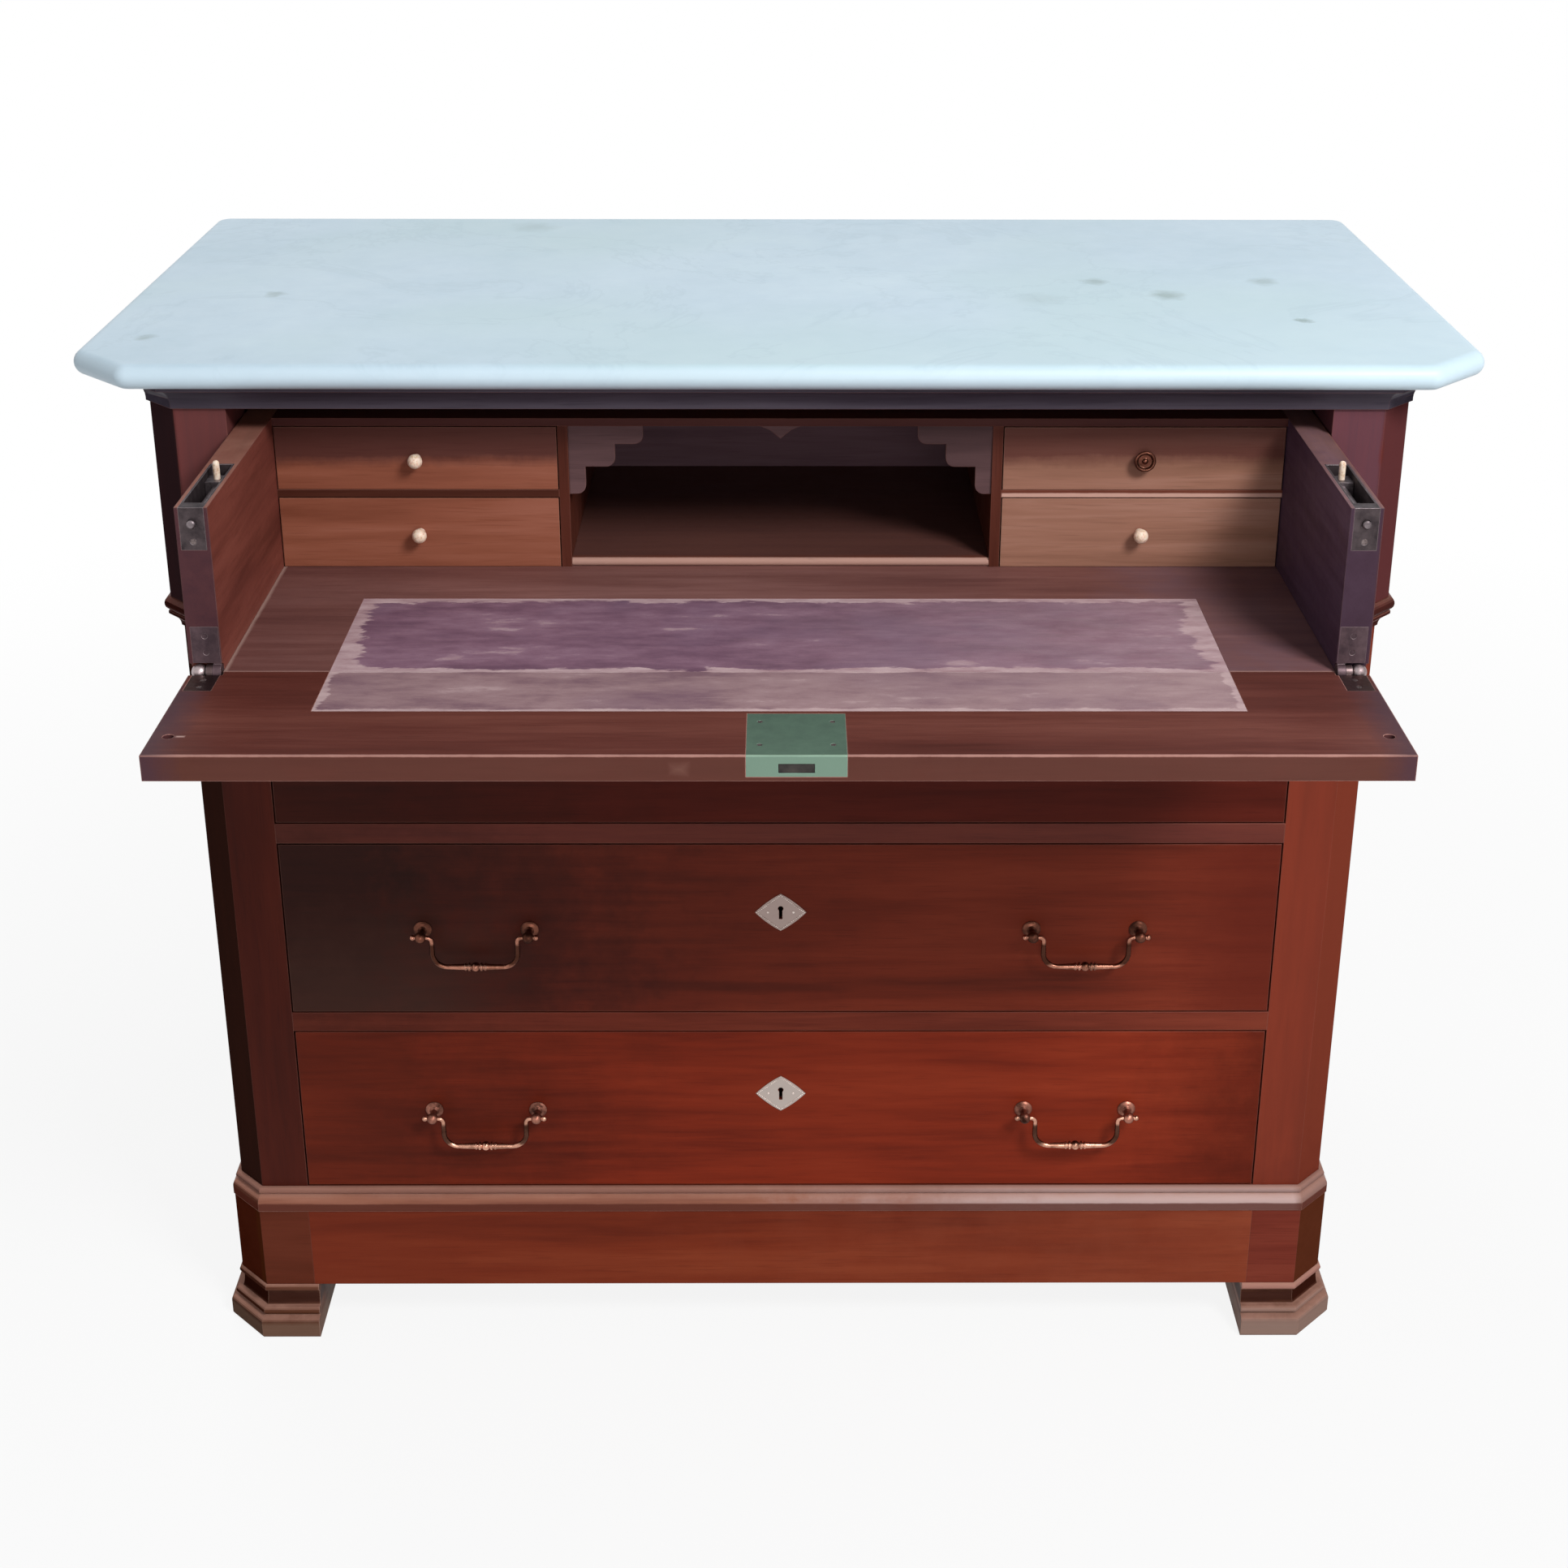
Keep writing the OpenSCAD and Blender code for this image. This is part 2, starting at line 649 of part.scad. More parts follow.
module lock_space(top) {
    box([lock_x - lock_w / 2, lock_x + lock_w / 2], [-1, lock_plate_d], [top - 1.5, top + 1]);
    box([lock_x - lock_w / 2, lock_x + lock_w / 2], [-1, 1.5], [top - 17, top + 1]);
    box([lock_x - lock_w / 2 + 6, lock_x + lock_w / 2 - 6], [-1, lock_plate_d - 8],
        [top - 14, top + 1]);
}
module fall_leather() leather()
    box([-leather_w / 2, leather_w / 2], [ys - flap_leather_d, ys], [floor_z - leather_t, floor_z]);

// The lock: a plate on the inner face, a selvedge on the edge and the case between them
module fall_lock() {
    x0 = lock_x - lock_w / 2;
    x1 = lock_x + lock_w / 2;
    y0 = ys - flap_l;
    brass() difference() {
        union() {
            box([x0, x1], [y0, y0 + lock_plate_d], [floor_z - 1.5, floor_z]);
            box([x0, x1], [y0, y0 + 1.5], [floor_z - 17, floor_z]);
            box([x0 + 6, x1 - 6], [y0 + 1, y0 + lock_plate_d - 8], [floor_z - 14, floor_z - 1]);
        }
        box([lock_x - 13.5, lock_x + 13.5], [y0 - 1, y0 + 34], [bolt_low() - run, bolt_low() + 7 + run]);
        for (side = [-1, 1], back = [20, 62])
            translate([lock_x + side * (lock_w / 2 - 10), y0 + back, floor_z - 0.6])
                cylinder(r = 2.2, h = 1);
    }
}
function bolt_low() = floor_z - flap_t / 2 - 3.5;
module fall_lock_bolt() steel()
    box([lock_x - 13.5 + run, lock_x + 13.5 - run], [ys - flap_l + 0.3, ys - flap_l + 26],
        [bolt_low(), bolt_low() + 7]);

// The moving half of the hinges: leaf, knuckle, pin and the ball at the pin's end
module fall_hinge() {
    x0 = knuckle_x + knuckle_l + run;
    x1 = writing_half - 1;
    ball = knuckle_r;
    brass() {
        difference() {
            box([knuckle_x + 0.5, knuckle_x + 0.5 + leaf_w], [ys - knuckle_r - leaf_l, ys - knuckle_r - 1],
                [floor_z - leaf_t, floor_z]);
            for (back = [10, 24])
                translate([knuckle_x + 0.5 + leaf_w / 2, ys - knuckle_r - back, floor_z - 0.5])
                    cylinder(r = 2.4, h = 1);
        }
        box([x0, x0 + 4], [ys - knuckle_r - 2, ys - 1], [floor_z - leaf_t, floor_z]);
        rod_x([x0, x0 + 5], ys, floor_z, knuckle_r - run);
        rod_x([knuckle_x, x1 - ball], ys, floor_z, pin_r);
        translate([x1 - ball, ys, floor_z]) sphere(ball);
    }
}
module fall_hinges() both_sides() fall_hinge();

// The diamond of an escutcheon, with slightly full sides
module diamond() {
    corners = [[diamond_w / 2, 0], [0, diamond_h / 2], [-diamond_w / 2, 0], [0, -diamond_h / 2]];
    full = 1.2;
    n = 6;
    polygon([for (i = [0:3], k = [0:n - 1])
             let (a = corners[i], b = corners[(i + 1) % 4], t = k / n)
             a + (b - a) * t + out(a, b) * full * 4 * t * (1 - t)]);
}
module keyhole() {
    translate([0, 4]) circle(2.6);
    translate([-1.6, -7]) square([3.2, 11]);
}

// Small drawers: a front with its sides, back and bottom, open at the top
module small_drawer(z, h) {
    x0 = partition_out + small_gap;
    x1 = writing_in - small_gap;
    y0 = gallery_y;
    y1 = gallery_back - 4;
    low = z + run;
    high = z + h - small_gap;
    t = small_side_t;
    inner_wood() difference() {
        box([x0, x1], [y0, y1], [low, high]);
        box([x0 + t, x1 - t], [y0 + small_front_t, y1 - t], [low + t * 0.7, high + 1]);
        box([x0 - 1, x1 + 1], [y0 + small_front_t, y1 + 1], [high - 4, high + 1]);
        translate([(x0 + x1) / 2, y0, small_middle(z, h)]) rotate([-90, 0, 0])
            translate([0, 0, -1]) cylinder(r = 2 + run, h = small_front_t + 2);
    }
}
function small_middle(z, h) = z + h / 2 - 0.3;
upper_small_z = shelf_z + shelf_t;
upper_small_h = gallery_under - upper_small_z;
module small_drawer_lower_right() small_drawer(floor_z, lower_small_h);
module small_drawer_lower_left() mirror([1, 0, 0]) small_drawer(floor_z, lower_small_h);
module small_drawer_upper_right() small_drawer(upper_small_z, upper_small_h);
module small_drawer_upper_left() mirror([1, 0, 0]) small_drawer(upper_small_z, upper_small_h);

// A turned bone knob, with its stem through the drawer front
module bone_knob(z, h) {
    r = knob_d / 2;
    bone() translate([(partition_out + writing_in) / 2, gallery_y, small_middle(z, h)])
        rotate([90, 0, 0]) rotate_extrude()
        polygon(concat([[0, -small_front_t + 1], [2, -small_front_t + 1], [2, 0], [r * 0.62, 0],
                        [r * 0.62, 1.2], [r * 0.38, 2.4], [r * 0.38, 4.5]],
                       arc([0, 4.5 + r * 0.8], r, -35, 90, 9)));
}
// The brass ring knob: a dished round plate with a raised rim and a small stud
module ring_knob(z, h) {
    r = ring_knob_d / 2;
    brass() translate([(partition_out + writing_in) / 2, gallery_y, small_middle(z, h)])
        rotate([90, 0, 0]) rotate_extrude()
        polygon(concat([[0, -small_front_t + 1], [2, -small_front_t + 1], [2, 0], [r * 0.55, 0],
                        [r * 0.55, 5], [r - 1.5, 7]],
                       arc([r - 1.5, 8.5], 1.5, -60, 120, 6), [[r * 0.62, 7.5], [r * 0.3, 7.5]],
                       arc([0, 7.5], r * 0.28, 15, 90, 4)));
}
module small_knob_lower_right() bone_knob(floor_z, lower_small_h);
module small_knob_lower_left() mirror([1, 0, 0]) bone_knob(floor_z, lower_small_h);
module small_knob_upper_right() ring_knob(upper_small_z, upper_small_h);
module small_knob_upper_left() mirror([1, 0, 0]) bone_knob(upper_small_z, upper_small_h);

// Long drawers

function pivot_z(z, h) = z + h / 2;
function keyhole_z(z, h) = pivot_z(z, h) + diamond_up;

// The front board, sunk for its escutcheon and lock and bored for the handles
module long_front(z, h) {
    mahogany() difference() {
        box([-front_half, front_half], [0, front_t], [z + gap, z + h - gap]);
        translate([0, 0, keyhole_z(z, h)]) rotate([90, 0, 0]) {
            translate([0, 0, diamond_proud - diamond_t]) linear_extrude(2 * diamond_t) diamond();
            translate([0, 0, -front_t / 2]) linear_extrude(front_t) keyhole();
        }
        lock_body(z, h, 1);
        for (side = [-1, 1], post = [-1, 1])
            rod_y(side * handle_x + post * handle_in, [-1, front_t + 1], pivot_z(z, h), shank_r + run);
    }
}

// The box behind the front: two sides, a back and a bottom
module long_box(z, h) {
    x = front_half - 1;
    low = z + run;
    high = z + h - 8;
    plain_wood() difference() {
        box([-x, x], [front_t, drawer_depth], [low, high]);
        box([-x + box_t, x - box_t], [front_t - 1, drawer_depth - box_t], [low + box_floor_t, high + 1]);
    }
}

// The lock's space: a selvedge let into the top edge of the front, and the case behind it
module lock_body(z, h, over) {
    top = z + h - gap;
    middle = front_t / 2;
    box([-selvedge_w / 2, selvedge_w / 2], [middle - 6.5, front_t + over],
        [top - selvedge_t, top + over]);
    box([-lock_case_w / 2, lock_case_w / 2], [middle - 5, front_t + over],
        [keyhole_z(z, h) - 18, top - selvedge_t / 2]);
}
module bolt_space(z, h, fit) {
    top = z + h - gap;
    box([-bolt_w / 2 - fit, bolt_w / 2 + fit], [(front_t - bolt_t) / 2 - fit, (front_t + bolt_t) / 2 + fit],
        [top - bolt_l - fit, fit > 0 ? top + 1 : top - run]);
}
module long_lock_bolt(z, h) steel() bolt_space(z, h, 0);

// The brass on a front: four posts on round plates, the escutcheon, and the lock on the back
module long_brass(z, h) {
    brass() {
        for (side = [-1, 1], post = [-1, 1])
            translate([side * handle_x + post * handle_in, 0, pivot_z(z, h)]) handle_post();
        translate([0, diamond_t - diamond_proud, keyhole_z(z, h)]) rotate([90, 0, 0])
            linear_extrude(diamond_t) difference() {
                diamond();
                keyhole();
            }
        difference() {
            lock_body(z, h, 0);
            bolt_space(z, h, run);
            translate([0, front_t + 1, keyhole_z(z, h)]) rotate([90, 0, 0])
                linear_extrude(front_t) keyhole();
        }
    }
}
// One post: nut, shank through the front, round plate, neck, and a ball bored for the bail
module handle_post() difference() {
    rotate([90, 0, 0]) rotate_extrude()
        polygon(concat([[0, -front_t - 3], [6, -front_t - 3], [6, -front_t], [shank_r, -front_t],
                        [shank_r, 0], [8.5, 0], [8.5, 1], [7, 2.2], [4.6, 3], [3.2, 5],
                        [2.9, pivot_out - 6]],
                       arc([0, pivot_out], ball_r, -58, 90, 10)));
    rod_x([-ball_r - 1, ball_r + 1], -pivot_out, 0, stub_r + run);
}

// A bail: pins with small ball ends in the posts, bent arms, and a turned bar between them
module bail(z, h) {
    elbow = 4.5;
    bend = 14;
    arm_x = handle_in - ball_r - run - elbow;
    pin_end = handle_in + ball_r + run + 1.5;
    brass() translate([handle_x, -pivot_out, pivot_z(z, h)]) {
        both_sides() {
            rod_x([arm_x + elbow, pin_end], 0, 0, stub_r);
            translate([pin_end, 0, 0]) sphere(stub_r + 0.7);
            translate([arm_x + elbow, 0, -elbow]) rotate([90, 0, 0]) rotate([0, 0, 90])
                rotate_extrude(angle = 90) translate([elbow, 0]) circle(stub_r);
            translate([arm_x, 0, bend - bail_drop])
                cylinder(r1 = bail_r, r2 = stub_r, h = bail_drop - bend - elbow);
            translate([arm_x - bend, 0, bend - bail_drop]) rotate([90, 0, 0]) rotate([0, 0, -90])
                rotate_extrude(angle = 90) translate([bend, 0]) circle(bail_r);
        }
        translate([0, 0, -bail_drop]) rotate([0, 90, 0]) rotate_extrude() bail_bar(arm_x - bend);
    }
}
// The bar's outline: a bead between two rings and two fillets, swelling there and thin at the ends
module bail_bar(l) {
    r = bail_r;
    half = concat(arc([0, 0], 1.9 * r, 0, 55, 5),
                  [[1.1 * r, 4.4], [1.7 * r, 4.8], [1.7 * r, 6.4], [1.15 * r, 6.8], [1.15 * r, 8],
                   [1.55 * r, 8.4], [1.55 * r, 9.8], [1.3 * r, 10.2], [r, l]]);
    n = len(half) - 1;
    polygon(concat([[0, -l]], [for (i = [n:-1:1]) [half[i][0], -half[i][1]]], half, [[0, l]]));
}

module upper_drawer_front() long_front(upper_z, upper_opening_h);
module upper_drawer_box() long_box(upper_z, upper_opening_h);
module upper_drawer_brass() long_brass(upper_z, upper_opening_h);
module upper_drawer_lock_bolt() long_lock_bolt(upper_z, upper_opening_h);
module upper_drawer_bail_right() bail(upper_z, upper_opening_h);
module upper_drawer_bail_left() mirror([1, 0, 0]) bail(upper_z, upper_opening_h);
module middle_drawer_front() long_front(middle_z, middle_opening_h);
module middle_drawer_box() long_box(middle_z, middle_opening_h);
module middle_drawer_brass() long_brass(middle_z, middle_opening_h);
module middle_drawer_lock_bolt() long_lock_bolt(middle_z, middle_opening_h);
module middle_drawer_bail_right() bail(middle_z, middle_opening_h);
module middle_drawer_bail_left() mirror([1, 0, 0]) bail(middle_z, middle_opening_h);
module lower_drawer_front() long_front(lower_z, lower_opening_h);
module lower_drawer_box() long_box(lower_z, lower_opening_h);
module lower_drawer_brass() long_brass(lower_z, lower_opening_h);
module lower_drawer_lock_bolt() long_lock_bolt(lower_z, lower_opening_h);
module lower_drawer_bail_right() bail(lower_z, lower_opening_h);
module lower_drawer_bail_left() mirror([1, 0, 0]) bail(lower_z, lower_opening_h);

marble_top();
top_moulding();
top_frame();
side_panels();
back_panel();
front_posts();
drawer_rails();
waist_moulding();
drawer_runners();
bottom_board();
plinth_panels();
plinth_blocks();
plinth_moulding();
feet_front();
feet_back();
secretary_side_left();
secretary_side_right();
secretary_floor();
secretary_back();
writing_leather();
gallery_partitions();
gallery_shelves();
pigeonhole_valance();
catch_cases();
hinge_leaves();
catch_bolt_left();
catch_bolt_right();
catch_button_left();
catch_button_right();
fall_panel();
fall_leather();
fall_lock();
fall_hinges();
fall_lock_bolt();
small_drawer_lower_left();
small_drawer_upper_left();
small_drawer_lower_right();
small_drawer_upper_right();
small_knob_lower_left();
small_knob_upper_left();
small_knob_lower_right();
small_knob_upper_right();
upper_drawer_front();
upper_drawer_box();
upper_drawer_brass();
upper_drawer_lock_bolt();
upper_drawer_bail_left();
upper_drawer_bail_right();
middle_drawer_front();
middle_drawer_box();
middle_drawer_brass();
middle_drawer_lock_bolt();
middle_drawer_bail_left();
middle_drawer_bail_right();
lower_drawer_front();
lower_drawer_box();
lower_drawer_brass();
lower_drawer_lock_bolt();
lower_drawer_bail_left();
lower_drawer_bail_right();
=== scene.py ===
import math
import bmesh
import bpy
from mathutils import Euler, Matrix, Vector


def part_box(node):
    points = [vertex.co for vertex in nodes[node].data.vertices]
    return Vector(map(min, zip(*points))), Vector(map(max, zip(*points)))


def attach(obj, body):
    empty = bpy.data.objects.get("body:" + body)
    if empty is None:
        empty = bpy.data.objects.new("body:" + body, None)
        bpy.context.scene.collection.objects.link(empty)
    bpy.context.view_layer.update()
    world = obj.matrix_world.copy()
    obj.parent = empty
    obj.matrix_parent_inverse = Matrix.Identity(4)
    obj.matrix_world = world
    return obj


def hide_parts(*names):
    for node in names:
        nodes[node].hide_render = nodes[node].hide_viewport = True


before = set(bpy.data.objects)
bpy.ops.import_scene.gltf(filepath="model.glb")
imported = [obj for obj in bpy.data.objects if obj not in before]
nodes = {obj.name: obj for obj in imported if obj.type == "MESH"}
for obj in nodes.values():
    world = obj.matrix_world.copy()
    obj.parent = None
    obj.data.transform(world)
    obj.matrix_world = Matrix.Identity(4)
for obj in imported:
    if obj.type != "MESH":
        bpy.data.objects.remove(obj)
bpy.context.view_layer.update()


# Camera. It stands 1.52 m above the floor and 2.2 m in front of the case's middle, looking down
# 22 degrees, with the lens and the shift that the picture's vanishing lines give.
camera_data = bpy.data.cameras.new("camera")
camera_data.sensor_width = 36.0
camera_data.lens = 53.24
camera_data.shift_x = -0.0093
camera_data.shift_y = -0.0887
camera = bpy.data.objects.new("camera", camera_data)
tilt_down = 0.38649
turn_left = -0.00653
roll = 0.00257
facing = Euler((math.pi / 2 - tilt_down, 0, turn_left)).to_matrix() @ Matrix.Rotation(roll, 3, "Z")
camera.matrix_world = Matrix.Translation((0.0036, -2.0143, 1.5175)) @ facing.to_4x4()
bpy.context.scene.collection.objects.link(camera)
bpy.context.scene.camera = camera


# Marble top. The real one is a loose slab of pale blue-grey marble, 22 mm thick, with a half-round
# polished edge and canted front corners. It lies on the frame under its own weight.
def linear(hex_colour):
    """The linear colour of an sRGB hex value."""
    parts = [int(hex_colour[i:i + 2], 16) / 255 for i in (1, 3, 5)]
    return tuple(c / 12.92 if c <= 0.04045 else ((c + 0.055) / 1.055) ** 2.4 for c in parts) + (1.0,)


def put(tree, kind, links=None, stops=(), **settings):
    """Adds a node. links gives its inputs, by name or number, values or the outputs that feed them.
    A Mix goes from the colour at input 6 to the one at 7 as input 0 goes from 0 to 1. A MapRange goes
    from one range to another and stays within it, and each is 0 to 1 where nothing else is given."""
    new = tree.nodes.new("ShaderNode" + kind)
    for key, value in settings.items():
        setattr(new, key, value)
    for key, value in (links or {}).items():
        if isinstance(value, bpy.types.NodeSocket):
            tree.links.new(value, new.inputs[key])
        else:
            new.inputs[key].default_value = value
    for i, (place, shade) in enumerate(stops):
        stop = new.color_ramp.elements[i] if i < 2 else new.color_ramp.elements.new(place)
        stop.position = place
        stop.color = linear(shade)
    return new


def per_mm(width):
    """The scale at which the patches of a noise are about this many millimetres wide."""
    return 1000 / width


def new_material(name):
    """An empty material, its node tree, and the place on the piece in metres."""
    material = bpy.data.materials.new(name)
    material.use_nodes = True
    material.node_tree.nodes.clear()
    tree = material.node_tree
    return material, tree, put(tree, "TexCoord").outputs["Object"]


def finished(tree, **inputs):
    """Ends a node tree in one Principled shader with these inputs."""
    shader = put(tree, "BsdfPrincipled", {key.replace("_", " "): value for key, value in inputs.items()})
    put(tree, "OutputMaterial", {"Surface": shader.outputs[0]})


def mesh_piece(name, body, material, bm, smooth_angle=35):
    """Makes a piece from a bmesh. It rides on a body and takes its finish from a slot."""
    bmesh.ops.recalc_face_normals(bm, faces=bm.faces)
    mesh = bpy.data.meshes.new(name)
    bm.to_mesh(mesh)
    bm.free()
    mesh.materials.append(material)
    mesh.shade_smooth()
    mesh.set_sharp_from_angle(angle=math.radians(smooth_angle))
    piece = bpy.data.objects.new(name, mesh)
    bpy.context.scene.collection.objects.link(piece)
    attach(piece, body)
    return piece


# Worn polished marble: cloudy, with faint veins a few millimetres wide and some grey-green stains.
# Its face scatters the light, and its edge, rubbed by hands, is a little paler.
marble, tree, here = new_material("polished_marble")
marble_low, marble_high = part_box("marble_top")
clouds = put(tree, "TexNoise", {"Vector": here, "Scale": per_mm(200), "Detail": 5.0, "Roughness": 0.6})
fine_clouds = put(tree, "TexNoise", {"Vector": here, "Scale": per_mm(26), "Detail": 4.0, "Roughness": 0.65})
cloudy = put(tree, "Mix", {0: 0.3, 6: clouds.outputs["Color"], 7: fine_clouds.outputs["Color"]},
             data_type="RGBA").outputs[2]
colour = put(tree, "ValToRGB", {"Fac": cloudy},
             [(0.34, "#b7cdda"), (0.66, "#cbdee9"), (0.5, "#c2d6e3")]).outputs[0]
broad = put(tree, "TexNoise", {"Vector": here, "Scale": per_mm(430), "Detail": 2.0}).outputs["Fac"]
greenish = put(tree, "MapRange", {"Value": broad, "From Min": 0.45, "From Max": 0.62,
                                  "To Max": 0.55}).outputs[0]
colour = put(tree, "Mix", {0: greenish, 6: colour, 7: linear("#b9d2d6")}, data_type="RGBA").outputs[2]
warped = put(tree, "TexNoise", {"Vector": here, "Scale": per_mm(310), "Detail": 6.0, "Roughness": 0.62,
                               "Distortion": 0.9})
off_vein = put(tree, "Math", {0: warped.outputs["Fac"], 1: 0.5}, operation="SUBTRACT")
vein_line = put(tree, "Math", {0: off_vein.outputs[0]}, operation="ABSOLUTE")
in_vein = put(tree, "MapRange", {"Value": vein_line.outputs[0], "From Max": 0.016,
                                 "To Min": 0.16, "To Max": 0.0}).outputs[0]
colour = put(tree, "Mix", {0: in_vein, 6: colour, 7: linear("#9bb4c1")}, data_type="RGBA").outputs[2]
ragged = put(tree, "TexNoise", {"Vector": here, "Scale": per_mm(14), "Detail": 3.0})
ragged_shift = put(tree, "MapRange", {"Value": ragged.outputs["Fac"],
                                      "To Min": -0.012, "To Max": 0.012}).outputs[0]
# Each stain: its place across and back, its radius and how strongly it shows
stains = [(0.30, 0.17, 0.016, 0.6), (0.36, 0.115, 0.022, 0.7), (0.46, 0.17, 0.018, 0.5),
          (0.47, 0.02, 0.008, 0.8), (-0.47, 0.115, 0.012, 0.5), (-0.55, -0.045, 0.012, 0.6),
          (-0.26, 0.415, 0.03, 0.3), (0.24, 0.10, 0.03, 0.2)]
for x, y, size, depth in stains:
    away = put(tree, "VectorMath", {0: here, 1: (x, y, marble_high.z)}, operation="DISTANCE")
    shifted = put(tree, "Math", {0: away.outputs["Value"], 1: ragged_shift}, operation="ADD")
    spot = put(tree, "MapRange", {"Value": shifted.outputs[0], "From Min": size * 0.2, "From Max": size,
                                  "To Min": depth, "To Max": 0.0}).outputs[0]
    colour = put(tree, "Mix", {0: spot, 6: colour, 7: linear("#869c9c")}, data_type="RGBA").outputs[2]
height_here = put(tree, "SeparateXYZ", {0: here}).outputs["Z"]
on_edge = put(tree, "MapRange", {"Value": height_here, "From Min": marble_high.z - 0.001,
                                 "From Max": marble_high.z - 0.004, "To Max": 0.6}).outputs[0]
colour = put(tree, "Mix", {0: on_edge, 6: colour, 7: linear("#c3d5e0")}, data_type="RGBA").outputs[2]
# Honing marks under the polish, drawn 4 mm wide because the real ones are too fine to show
honing = put(tree, "TexNoise", {"Vector": here, "Scale": per_mm(4), "Detail": 3.0})
relief = put(tree, "Bump", {"Strength": 0.12, "Distance": 0.0006, "Height": honing.outputs["Fac"]})
gloss = put(tree, "MapRange", {"Value": fine_clouds.outputs["Fac"],
                               "To Min": 0.34, "To Max": 0.52}).outputs[0]
finished(tree, Base_Color=colour, Roughness=gloss, Specular_IOR_Level=0.3, Normal=relief.outputs[0])

# The slab itself: rings of its outline, each stepped in as the half-round edge turns over.
nose = (marble_high.z - marble_low.z) / 2
corner_radius = 0.006
inset = nose + corner_radius
cant_in = 0.052 - inset * (2 - math.sqrt(2))
side = marble_high.x - inset
front = marble_low.y + inset
back = marble_high.y - inset
corners = [((-side, back), 90, 180), ((-side, front + cant_in), 180, 225),
           ((-side + cant_in, front), 225, 270), ((side - cant_in, front), 270, 315),
           ((side, front + cant_in), 315, 360), ((side, back), 360, 450)]
steps_round_nose = 16
steps_round_corner = 8
rings = [(corner_radius - 0.001, -nose)]
for step in range(steps_round_nose + 1):
    turn = math.pi * (step / steps_round_nose - 0.5)
    rings.append((corner_radius + nose * math.cos(turn), nose * math.sin(turn)))
rings.append((corner_radius - 0.001, nose))
bm = bmesh.new()
loops = []
for reach, lift in rings:
    loop = []
    for (x, y), start, end in corners:
        for step in range(steps_round_corner + 1):
            angle = math.radians(start + (end - start) * step / steps_round_corner)
            loop.append(bm.verts.new((x + reach * math.cos(angle), y + reach * math.sin(angle),
                                      marble_low.z + nose + lift)))
    loops.append(loop)
for lower, upper in zip(loops, loops[1:]):
    for i in range(len(lower)):
        following = (i + 1) % len(lower)
        bm.faces.new([lower[i], lower[following], upper[following], upper[i]])
bm.faces.new(loops[0])
bm.faces.new(loops[-1])
slab = mesh_piece("marble_slab", "carcass", marble, bm)
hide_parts("marble_top")


# Case of polished mahogany: posts, rails, sides, mouldings and the plinth, glued and pegged, then
# French-polished. Old polish has gone brown, the arrises are rubbed pale and dust lies in the mouldings.
def clothe(names, material):
    """Gives CAD nodes a material in every slot."""
    for name in names:
        if not nodes[name].material_slots:
            nodes[name].data.materials.append(material)
        for slot in nodes[name].material_slots:
            slot.material = material


def in_box(tree, here, low, high, soft, ragged):
    """1 inside a box and 0 outside it, over an edge twice soft metres wide that a noise makes ragged."""
    middle = [(a + b) / 2 for a, b in zip(low, high)]
    half = [(b - a) / 2 for a, b in zip(low, high)]
    offset = put(tree, "VectorMath", {0: here, 1: middle}, operation="SUBTRACT")
    size = put(tree, "VectorMath", {0: offset.outputs[0]}, operation="ABSOLUTE")
    inside = put(tree, "VectorMath", {0: half, 1: size.outputs[0]}, operation="SUBTRACT")
    split = put(tree, "SeparateXYZ", {0: inside.outputs[0]})
    nearest = put(tree, "Math", {0: split.outputs["X"], 1: split.outputs["Y"]}, operation="MINIMUM")
    nearest = put(tree, "Math", {0: nearest.outputs[0], 1: split.outputs["Z"]}, operation="MINIMUM")
    wander = put(tree, "MapRange", {"Value": ragged, "From Min": 0.3, "From Max": 0.7,
                                    "To Min": -soft / 2, "To Max": soft / 2}).outputs[0]
    shifted = put(tree, "Math", {0: nearest.outputs[0], 1: wander}, operation="ADD")
    return put(tree, "MapRange", {"Value": shifted.outputs[0], "From Min": -soft,
                                  "From Max": soft}).outputs[0]


